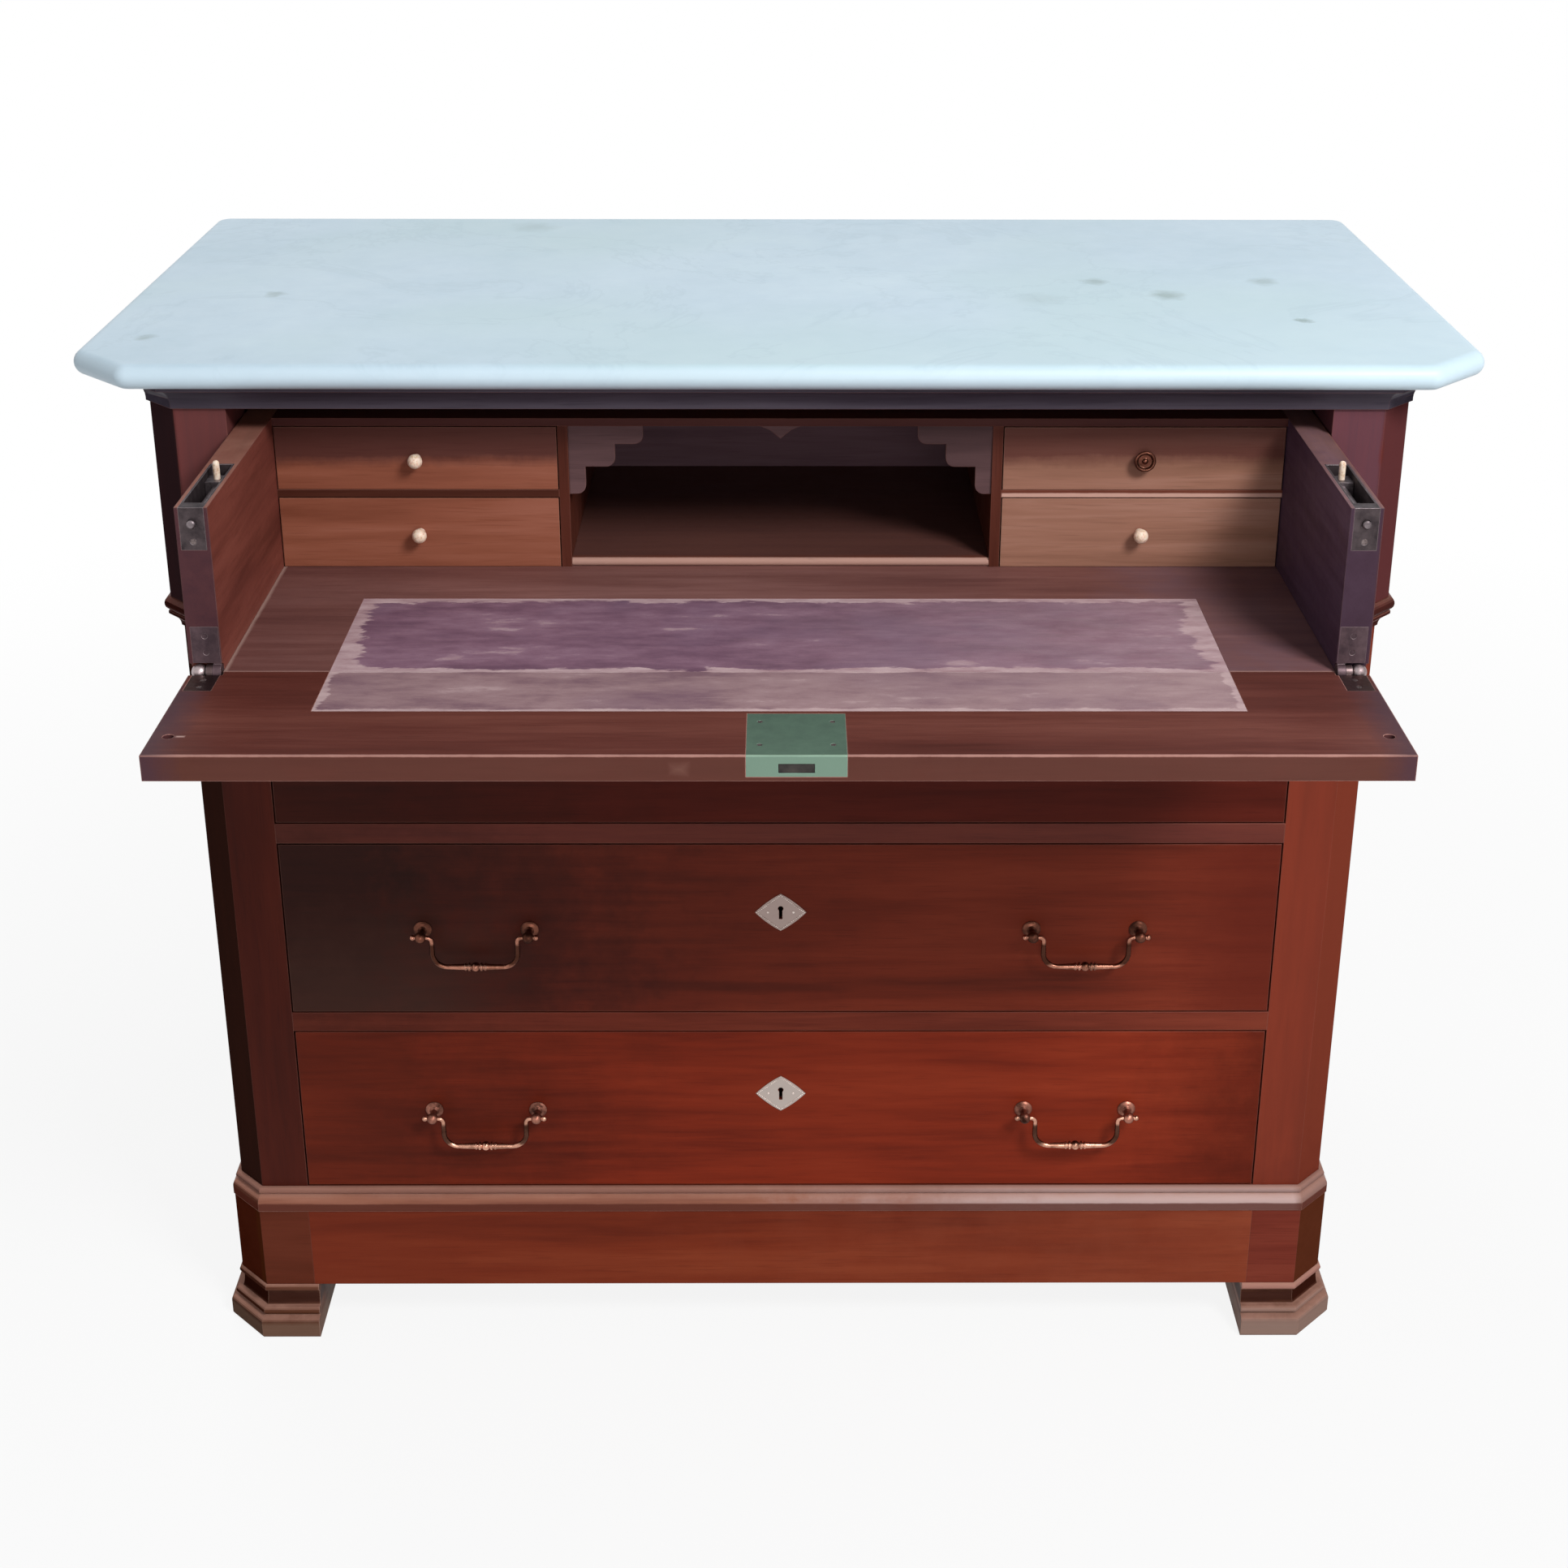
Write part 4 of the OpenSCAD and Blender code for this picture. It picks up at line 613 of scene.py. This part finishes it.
# Leather let into the floor and the fall front: goatskin dyed purple, faded and scuffed to pinkish
# beige along its edges. It is glued down in two parts that meet at the hinge line.
def worn_leather(name, node, dye, bare, end_reach, front_reach, back_reach, bloom):
    """Dyed leather in three shades, scuffed bare to two others within a reach of its edges."""
    material, tree, here = new_material(name)
    low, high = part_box(node)
    split = put(tree, "SeparateXYZ", {0: here})
    stretched = put(tree, "Mapping", {"Vector": here, "Scale": (0.35, 1.0, 1.0)}).outputs[0]
    patches = put(tree, "TexNoise", {"Vector": stretched, "Scale": per_mm(29), "Detail": 8.0,
                                     "Roughness": 0.68}).outputs["Fac"]
    torn = put(tree, "TexNoise", {"Vector": stretched, "Scale": per_mm(11), "Detail": 7.0,
                                  "Roughness": 0.65}).outputs["Fac"]
    off_middle = put(tree, "Math", {0: split.outputs["X"]}, operation="ABSOLUTE")
    to_end = put(tree, "MapRange", {"Value": off_middle.outputs[0], "From Min": high.x - end_reach,
                                    "From Max": high.x}).outputs[0]
    to_front = put(tree, "MapRange", {"Value": split.outputs["Y"], "From Min": low.y + front_reach,
                                      "From Max": low.y}).outputs[0]
    to_back = put(tree, "MapRange", {"Value": split.outputs["Y"], "From Min": high.y - back_reach,
                                     "From Max": high.y}).outputs[0]
    rim = put(tree, "Math", {0: to_end, 1: to_front}, operation="MAXIMUM")
    rim = put(tree, "Math", {0: rim.outputs[0], 1: to_back}, operation="MAXIMUM")
    frayed = put(tree, "Math", {0: torn, 1: 1.1, 2: rim.outputs[0]}, operation="MULTIPLY_ADD")
    frayed = put(tree, "Math", {0: patches, 1: 1.9, 2: frayed.outputs[0]}, operation="MULTIPLY_ADD")
    bared = put(tree, "MapRange", {"Value": frayed.outputs[0], "From Min": 1.92,
                                   "From Max": 2.06}).outputs[0]
    rubs = put(tree, "MapRange", {"Value": patches, "From Min": 0.6, "From Max": 0.66,
                                  "To Max": 0.6}).outputs[0]
    worn_off = put(tree, "Math", {0: bared, 1: rubs}, operation="MAXIMUM").outputs[0]
    line_place = put(tree, "Mapping", {"Vector": here, "Rotation": (0, 0, 0.08), "Scale": (0.03, 1.0, 1.0)})
    lines = put(tree, "TexNoise", {"Vector": line_place.outputs[0], "Scale": per_mm(2.4), "Detail": 2.0})
    colour = put(tree, "ValToRGB", {"Fac": patches},
                 [(0.36, dye[0]), (0.64, dye[2]), (0.5, dye[1])]).outputs[0]
    cloud = put(tree, "TexNoise", {"Vector": here, "Scale": per_mm(125), "Detail": 3.0})
    bloomed = put(tree, "MapRange", {"Value": cloud.outputs["Fac"], "From Min": 0.5, "From Max": 0.65,
                                     "To Max": 0.5}).outputs[0]
    colour = put(tree, "Mix", {0: bloomed, 6: colour, 7: linear(bloom)}, data_type="RGBA").outputs[2]
    scored = put(tree, "MapRange", {"Value": lines.outputs["Fac"], "From Min": 0.62, "From Max": 0.74,
                                    "To Max": 0.3}).outputs[0]
    colour = put(tree, "Mix", {0: scored, 6: colour, 7: linear(bare[0])}, data_type="RGBA").outputs[2]
    bare_skin = put(tree, "ValToRGB", {"Fac": torn}, [(0.35, bare[0]), (0.65, bare[1])]).outputs[0]
    faded = put(tree, "MapRange", {"Value": split.outputs["X"], "From Min": -0.05, "From Max": high.x,
                                   "To Max": 0.4}).outputs[0]
    colour = put(tree, "Mix", {0: faded, 6: colour, 7: bare_skin}, data_type="RGBA").outputs[2]
    colour = put(tree, "Mix", {0: worn_off, 6: colour, 7: bare_skin}, data_type="RGBA").outputs[2]
    flakes = put(tree, "TexVoronoi", {"Vector": here, "Scale": per_mm(110)})
    flake = put(tree, "MapRange", {"Value": flakes.outputs["Distance"], "From Min": 0.022,
                                   "From Max": 0.014, "To Max": 0.8}).outputs[0]
    colour = put(tree, "Mix", {0: flake, 6: colour, 7: linear("#dccfd2")}, data_type="RGBA").outputs[2]
    # Goatskin's grain, as wide as the real one
    grain = put(tree, "TexVoronoi", {"Vector": here, "Scale": per_mm(1.1)})
    height = put(tree, "Math", {0: worn_off, 1: -0.6, 2: grain.outputs["Distance"]},
                 operation="MULTIPLY_ADD")
    relief = put(tree, "Bump", {"Strength": 0.25, "Distance": 0.0004, "Height": height.outputs[0]})
    gloss = put(tree, "MapRange", {"Value": worn_off, "To Min": 0.55, "To Max": 0.8}).outputs[0]
    finished(tree, Base_Color=colour, Roughness=gloss, Specular_IOR_Level=0.2, Normal=relief.outputs[0])
    return material


clothe(["writing_leather"],
       worn_leather("dyed_leather_floor", "writing_leather", ("#6a4c5e", "#7f5e70", "#917182"),
                    ("#a38388", "#c0a5a8"), 0.03, 0.014, 0.018, "#755d72"))
clothe(["fall_leather"],
       worn_leather("dyed_leather_fall", "fall_leather", ("#7a5d66", "#927579", "#a08487"),
                    ("#a98d90", "#c1a7a7"), 0.012, 0.01, 0.003, "#775a68"))


# Brass of the handles: cast and turned bails in posts on round plates, lacquered. The lacquer has
# gone brown, and the high places are rubbed to a pinkish gold.
# The bails are painted brighter on the lower drawers, which take more light, and their upright arms are
# darkened by painted shade, which leaves the bottom bars bright
lit_bail_shades = {"upper": "#9c6654", "middle": "#ab7562", "lower": "#cf9a83"}
for level in levels:
    low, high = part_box(level + "_drawer_bail_left")
    painted_shade_arms = ((-1, -1, low.z + 0.0075), (1, 1, high.z - 0.009), 0.0015, "#33180f", 0.9)
    bail_brass = old_metal("lacquered_brass_" + level, lit_bail_shades[level], "#54301f", (0.25, 0.45),
                           low=0.45, high=0.7, rim="#e9bfa9", rim_width=0.0006, marks=[painted_shade_arms])
    clothe([level + "_drawer_bail_left", level + "_drawer_bail_right"], bail_brass)
clothe(["small_knob_upper_right"], old_metal("dark_brass", "#7d4f40", "#3b2119", (0.3, 0.5), rim="#b98670"))


# Escutcheons: thin diamonds of whitish metal let into the fronts, with a beaded border and a pin at
# each side of the keyhole. The posts and the lock share their node, so the silver is kept to the diamond.
diamond_half_w = 0.024
diamond_half_h = 0.0195
diamond_up = 0.018
diamond_proud = 0.0006
silver = old_metal("escutcheon_silver", "#efe4dd", "#b5a39b", (0.35, 0.55), patch=6)
# The silver and the posts are painted lighter on the lower drawer, where more light falls, and the silver
# darker on the middle drawer, which lies in shade
lit_silver_shades = {"upper": "#a8968e", "middle": "#988680", "lower": "#b7aaa3"}
lit_post_shades = {"upper": "#6f4436", "middle": "#6f4436", "lower": "#a8705f"}
tips = [(diamond_half_w, 0), (0, diamond_half_h), (-diamond_half_w, 0), (0, -diamond_half_h)]
border = 0.93
beads_a_side = 15
bead_radius = 0.0008
pin_radius = 0.0013
for level in levels:
    low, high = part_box(level + "_drawer_front")
    middle = Vector((0, low.y - diamond_proud, (low.z + high.z) / 2 + diamond_up))
    reach = Vector((diamond_half_w + 0.004, 0.0004, diamond_half_h + 0.004))
    silvered = (middle - reach - Vector((0, 0.01, 0)), middle + reach, 0.0002, lit_silver_shades[level], 1.0)
    brass = old_metal("brass_" + level, lit_post_shades[level], "#301a14", (0.35, 0.55), rim="#94695a",
                      rim_width=0.0006, marks=[silvered])
    clothe([level + "_drawer_brass"], brass)
    bm = bmesh.new()
    for (x, z), (next_x, next_z) in zip(tips, tips[1:] + tips[:1]):
        for bead in range(beads_a_side):
            share = bead / beads_a_side
            place = Vector((border * (x + (next_x - x) * share), 0, border * (z + (next_z - z) * share)))
            bmesh.ops.create_icosphere(bm, subdivisions=1, radius=bead_radius,
                                       matrix=Matrix.Translation(middle + place))
    for side in (-1, 1):
        place = Matrix.Translation(middle + Vector((side * diamond_half_w / 2, 0, 0)))
        flat = Matrix.Diagonal((1, 0.5, 1, 1))
        bmesh.ops.create_icosphere(bm, subdivisions=2, radius=pin_radius, matrix=place @ flat)
    mesh_piece(level + "_escutcheon_beads", level + "_drawer", silver, bm, 60)


# Hinges of the fall front: iron leaves let into the wood, with bright ends to their pins. The moving
# leaf is so brown that it hardly shows in the board.
hinge_low, hinge_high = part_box("fall_hinges")
moving_leaf = (hinge_low - beyond, (hinge_high.x + 0.1, hinge_high.y - 0.0135, hinge_high.z + 0.1),
               0.0006, "#43231c", 0.95)
knuckle_in = hinge_high.x - 0.0125
knuckles = ((-knuckle_in, hinge_low.y - 0.1, hinge_low.z - 0.1),
            (knuckle_in, hinge_high.y + 0.1, hinge_high.z + 0.1), 0.0006, "#4a3838", 0.85)
pin_metal = old_metal("hinge_pins", "#b9abac", "#776768", (0.3, 0.5), patch=11,
                      marks=[moving_leaf, knuckles])
leaf_metal = old_metal("hinge_leaves", "#5a464b", "#3a2a30", (0.45, 0.6), metallic=0.6, rim="#9b8a8c")
clothe(["hinge_leaves"], leaf_metal)
clothe(["fall_hinges"], pin_metal)


# Catches of steel let into the tops of the sides: open channels with bright rubbed rims, dark inside,
# and round bolts that are polished by use.
catch_metal = old_metal("catch_steel", "#4f4446", "#2b2326", (0.4, 0.6), metallic=0.7, rim="#93878a",
                        rim_width=0.0008)
bolt_metal = old_metal("bolt_steel", "#8b8083", "#4b4245", (0.35, 0.5), metallic=0.9)
clothe(["catch_cases"], catch_metal)
clothe(["catch_bolt_left", "catch_bolt_right", "upper_drawer_lock_bolt", "middle_drawer_lock_bolt",
        "lower_drawer_lock_bolt"], bolt_metal)


# Lock of the fall front: a brass plate gone evenly green, let into the inner face, with a paler
# selvedge on the edge of the board where hands have kept it cleaner.
lock_low, lock_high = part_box("fall_lock")
selvedge = (lock_low - a_little, (lock_high.x + 0.01, lock_low.y + 0.0012, lock_high.z + 0.01), 0.0004,
            "#6a8473", 0.9)
lock_arris = ((lock_low.x - 0.01, lock_low.y - 0.01, lock_high.z - 0.0005),
              (lock_high.x + 0.01, lock_low.y + 0.0022, lock_high.z + 0.01), 0.0005, "#94b09a", 0.85)
lock_green = old_metal("verdigris_brass", "#4c6555", "#3f5548", (0.5, 0.65), patch=40, metallic=0.15,
                       rim="#86a392", rim_width=0.0007, marks=[selvedge, lock_arris])
clothe(["fall_lock"], lock_green)
clothe(["fall_lock_bolt"], old_metal("lock_bolt_iron", "#3b3531", "#1f1b1a", (0.5, 0.65), metallic=0.5))


# Screws: iron wood screws with slotted heads, filed flush, in the hinge leaves, the catches and the
# lock's plate. Their slots stand at odd angles, as each was driven home by hand.
steps_round_head = 12


def screw_head(bm, place, radius, turn, recess):
    """A slotted head that fills a recess up to the face at height 0 of its place."""
    half_slot = 0.2 * radius
    start = math.asin(half_slot / radius)
    turned = place @ Matrix.Rotation(turn, 4, "Z")
    for side in (0, math.pi):
        angles = [side + start + (math.pi - 2 * start) * i / steps_round_head
                  for i in range(steps_round_head + 1)]
        segment = [(radius * math.cos(a), radius * math.sin(a)) for a in angles]
        prism(bm, segment, -recess / 2, -0.00005, turned)
    around = [math.pi * i / steps_round_head for i in range(2 * steps_round_head)]
    disc = [(radius * math.cos(a), radius * math.sin(a)) for a in around]
    prism(bm, disc, -recess, -recess / 2, turned)


screw_metal = old_metal("screw_iron", "#8a7d7c", "#4a3f3e", (0.4, 0.6), patch=5)
facing_front = Matrix.Rotation(math.pi / 2, 4, "X")
leaves_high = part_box("hinge_leaves")[1]
catch_low, catch_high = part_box("catch_cases")
leaf_screw = 0.0022
catch_screw = 0.0024
lock_screw = 0.002
leaf_screw_places = (0.008, 0.022)
lock_screw_places = (0.020, 0.062)
bm = bmesh.new()
for side in (-1, 1):
    for i, down in enumerate(leaf_screw_places):
        at = Vector((side * (leaves_high.x - 0.011), leaves_high.y - 0.0015, leaves_high.z - down))
        screw_head(bm, Matrix.Translation(at) @ facing_front, leaf_screw, 0.5 + 1.1 * i + side, 0.0005)
    at = Vector((side * (catch_high.x - 0.010), catch_low.y, catch_low.z + 0.007))
    screw_head(bm, Matrix.Translation(at) @ facing_front, catch_screw, 0.9 + side, 0.0006)
mesh_piece("writing_drawer_screws", "secretary", screw_metal, bm)
bm = bmesh.new()
for side in (-1, 1):
    for i, back in enumerate(leaf_screw_places):
        at = Vector((side * (hinge_high.x - 0.013), hinge_low.y + back, hinge_high.z - 0.0065))
        screw_head(bm, Matrix.Translation(at), leaf_screw, 0.3 + 0.8 * i + side, 0.0005)
    for i, back in enumerate(lock_screw_places):
        at = Vector(((lock_low.x + lock_high.x) / 2 + side * 0.0275, lock_low.y + back, lock_high.z))
        screw_head(bm, Matrix.Translation(at), lock_screw, 0.7 * i - side, 0.0006)
mesh_piece("fall_front_screws", "fall", screw_metal, bm)


# Knobs and buttons of turned bone, glued into their drawers and bolts. Handling has polished them and
# left brown lines of dirt in their fine canals.
bone, tree, here = new_material("turned_bone")
canals = put(tree, "TexNoise", {"Vector": here, "Scale": per_mm(2.4), "Detail": 4.0, "Roughness": 0.6})
shade = put(tree, "ValToRGB", {"Fac": canals.outputs["Fac"]},
            [(0.32, "#b9936f"), (0.62, "#ecd5c2"), (0.45, "#e2c3ae")])
finished(tree, Base_Color=shade.outputs[0], Roughness=0.4, Specular_IOR_Level=0.4, Subsurface_Weight=0.1)
clothe(["catch_button_left", "catch_button_right", "small_knob_lower_left", "small_knob_upper_left",
        "small_knob_lower_right"], bone)


# Studio: a pale floor that shows white but keeps the chest's shadow, one large soft lamp above the
# front right, weak ones at the left, low in front and behind, and an even sky.
def seen_rays(tree):
    """1 for what the camera sees, also in metal and glass, and 0 for what lights the chest."""
    ray = put(tree, "LightPath").outputs
    seen = put(tree, "Math", {0: ray["Is Camera Ray"], 1: ray["Is Glossy Ray"]}, operation="ADD")
    return put(tree, "Math", {0: seen.outputs[0], 1: ray["Is Transmission Ray"]}, operation="ADD",
               use_clamp=True).outputs[0]


floor_material, tree, here = new_material("studio_floor")
seen = seen_rays(tree)
away = put(tree, "VectorMath", {0: here}, operation="LENGTH").outputs["Value"]
fading = put(tree, "MapRange", {"Value": away, "From Min": 0.8, "From Max": 2.6,
                                "To Min": 0.88}).outputs[0]
white_share = put(tree, "Math", {0: seen, 1: fading}, operation="MULTIPLY")
paper = put(tree, "BsdfDiffuse", {"Color": (0.7, 0.7, 0.7, 1)})
white = put(tree, "Emission", {"Color": (1, 1, 1, 1), "Strength": 1.0})
surface = put(tree, "MixShader", {0: white_share.outputs[0], 1: paper.outputs[0], 2: white.outputs[0]})
put(tree, "OutputMaterial", {"Surface": surface.outputs[0]})
bm = bmesh.new()
bmesh.ops.create_grid(bm, x_segments=1, y_segments=1, size=30)
mesh = bpy.data.meshes.new("studio_floor")
bm.to_mesh(mesh)
bm.free()
mesh.materials.append(floor_material)
floor = bpy.data.objects.new("studio_floor", mesh)
floor.location = (0, 0, -0.0005)
bpy.context.scene.collection.objects.link(floor)

world = bpy.data.worlds.new("studio")
bpy.context.scene.world = world
world.use_nodes = True
tree = world.node_tree
tree.nodes.clear()
seen = seen_rays(tree)
sky = put(tree, "Background", {"Color": (0.96, 0.98, 1.0, 1), "Strength": 0.3})
backdrop = put(tree, "Background", {"Color": (1, 1, 1, 1), "Strength": 1.0})
either = put(tree, "MixShader", {0: seen, 1: sky.outputs[0], 2: backdrop.outputs[0]})
put(tree, "OutputWorld", {"Surface": either.outputs[0]})

# Each lamp: its name, its place, its size and its power in watts
lamps = [("front_right", (1.6, -2.2, 3.0), 0.9, 108), ("front_left", (-2.6, -2.4, 1.6), 1.6, 4),
         ("front_low", (0.3, -3.2, 1.15), 1.2, 20), ("behind", (-1.5, 3.0, 2.6), 2.0, 45)]
for name, place, size, power in lamps:
    lamp_data = bpy.data.lights.new(name, "AREA")
    lamp_data.shape = "SQUARE"
    lamp_data.size = size
    lamp_data.energy = power
    lamp = bpy.data.objects.new(name, lamp_data)
    lamp.visible_glossy = name != "behind"
    aim = Vector((0, -0.1, 0.7)) - Vector(place)
    lamp.matrix_world = Matrix.Translation(place) @ aim.to_track_quat("-Z", "Y").to_matrix().to_4x4()
    bpy.context.scene.collection.objects.link(lamp)

bpy.context.scene.view_settings.view_transform = "Standard"
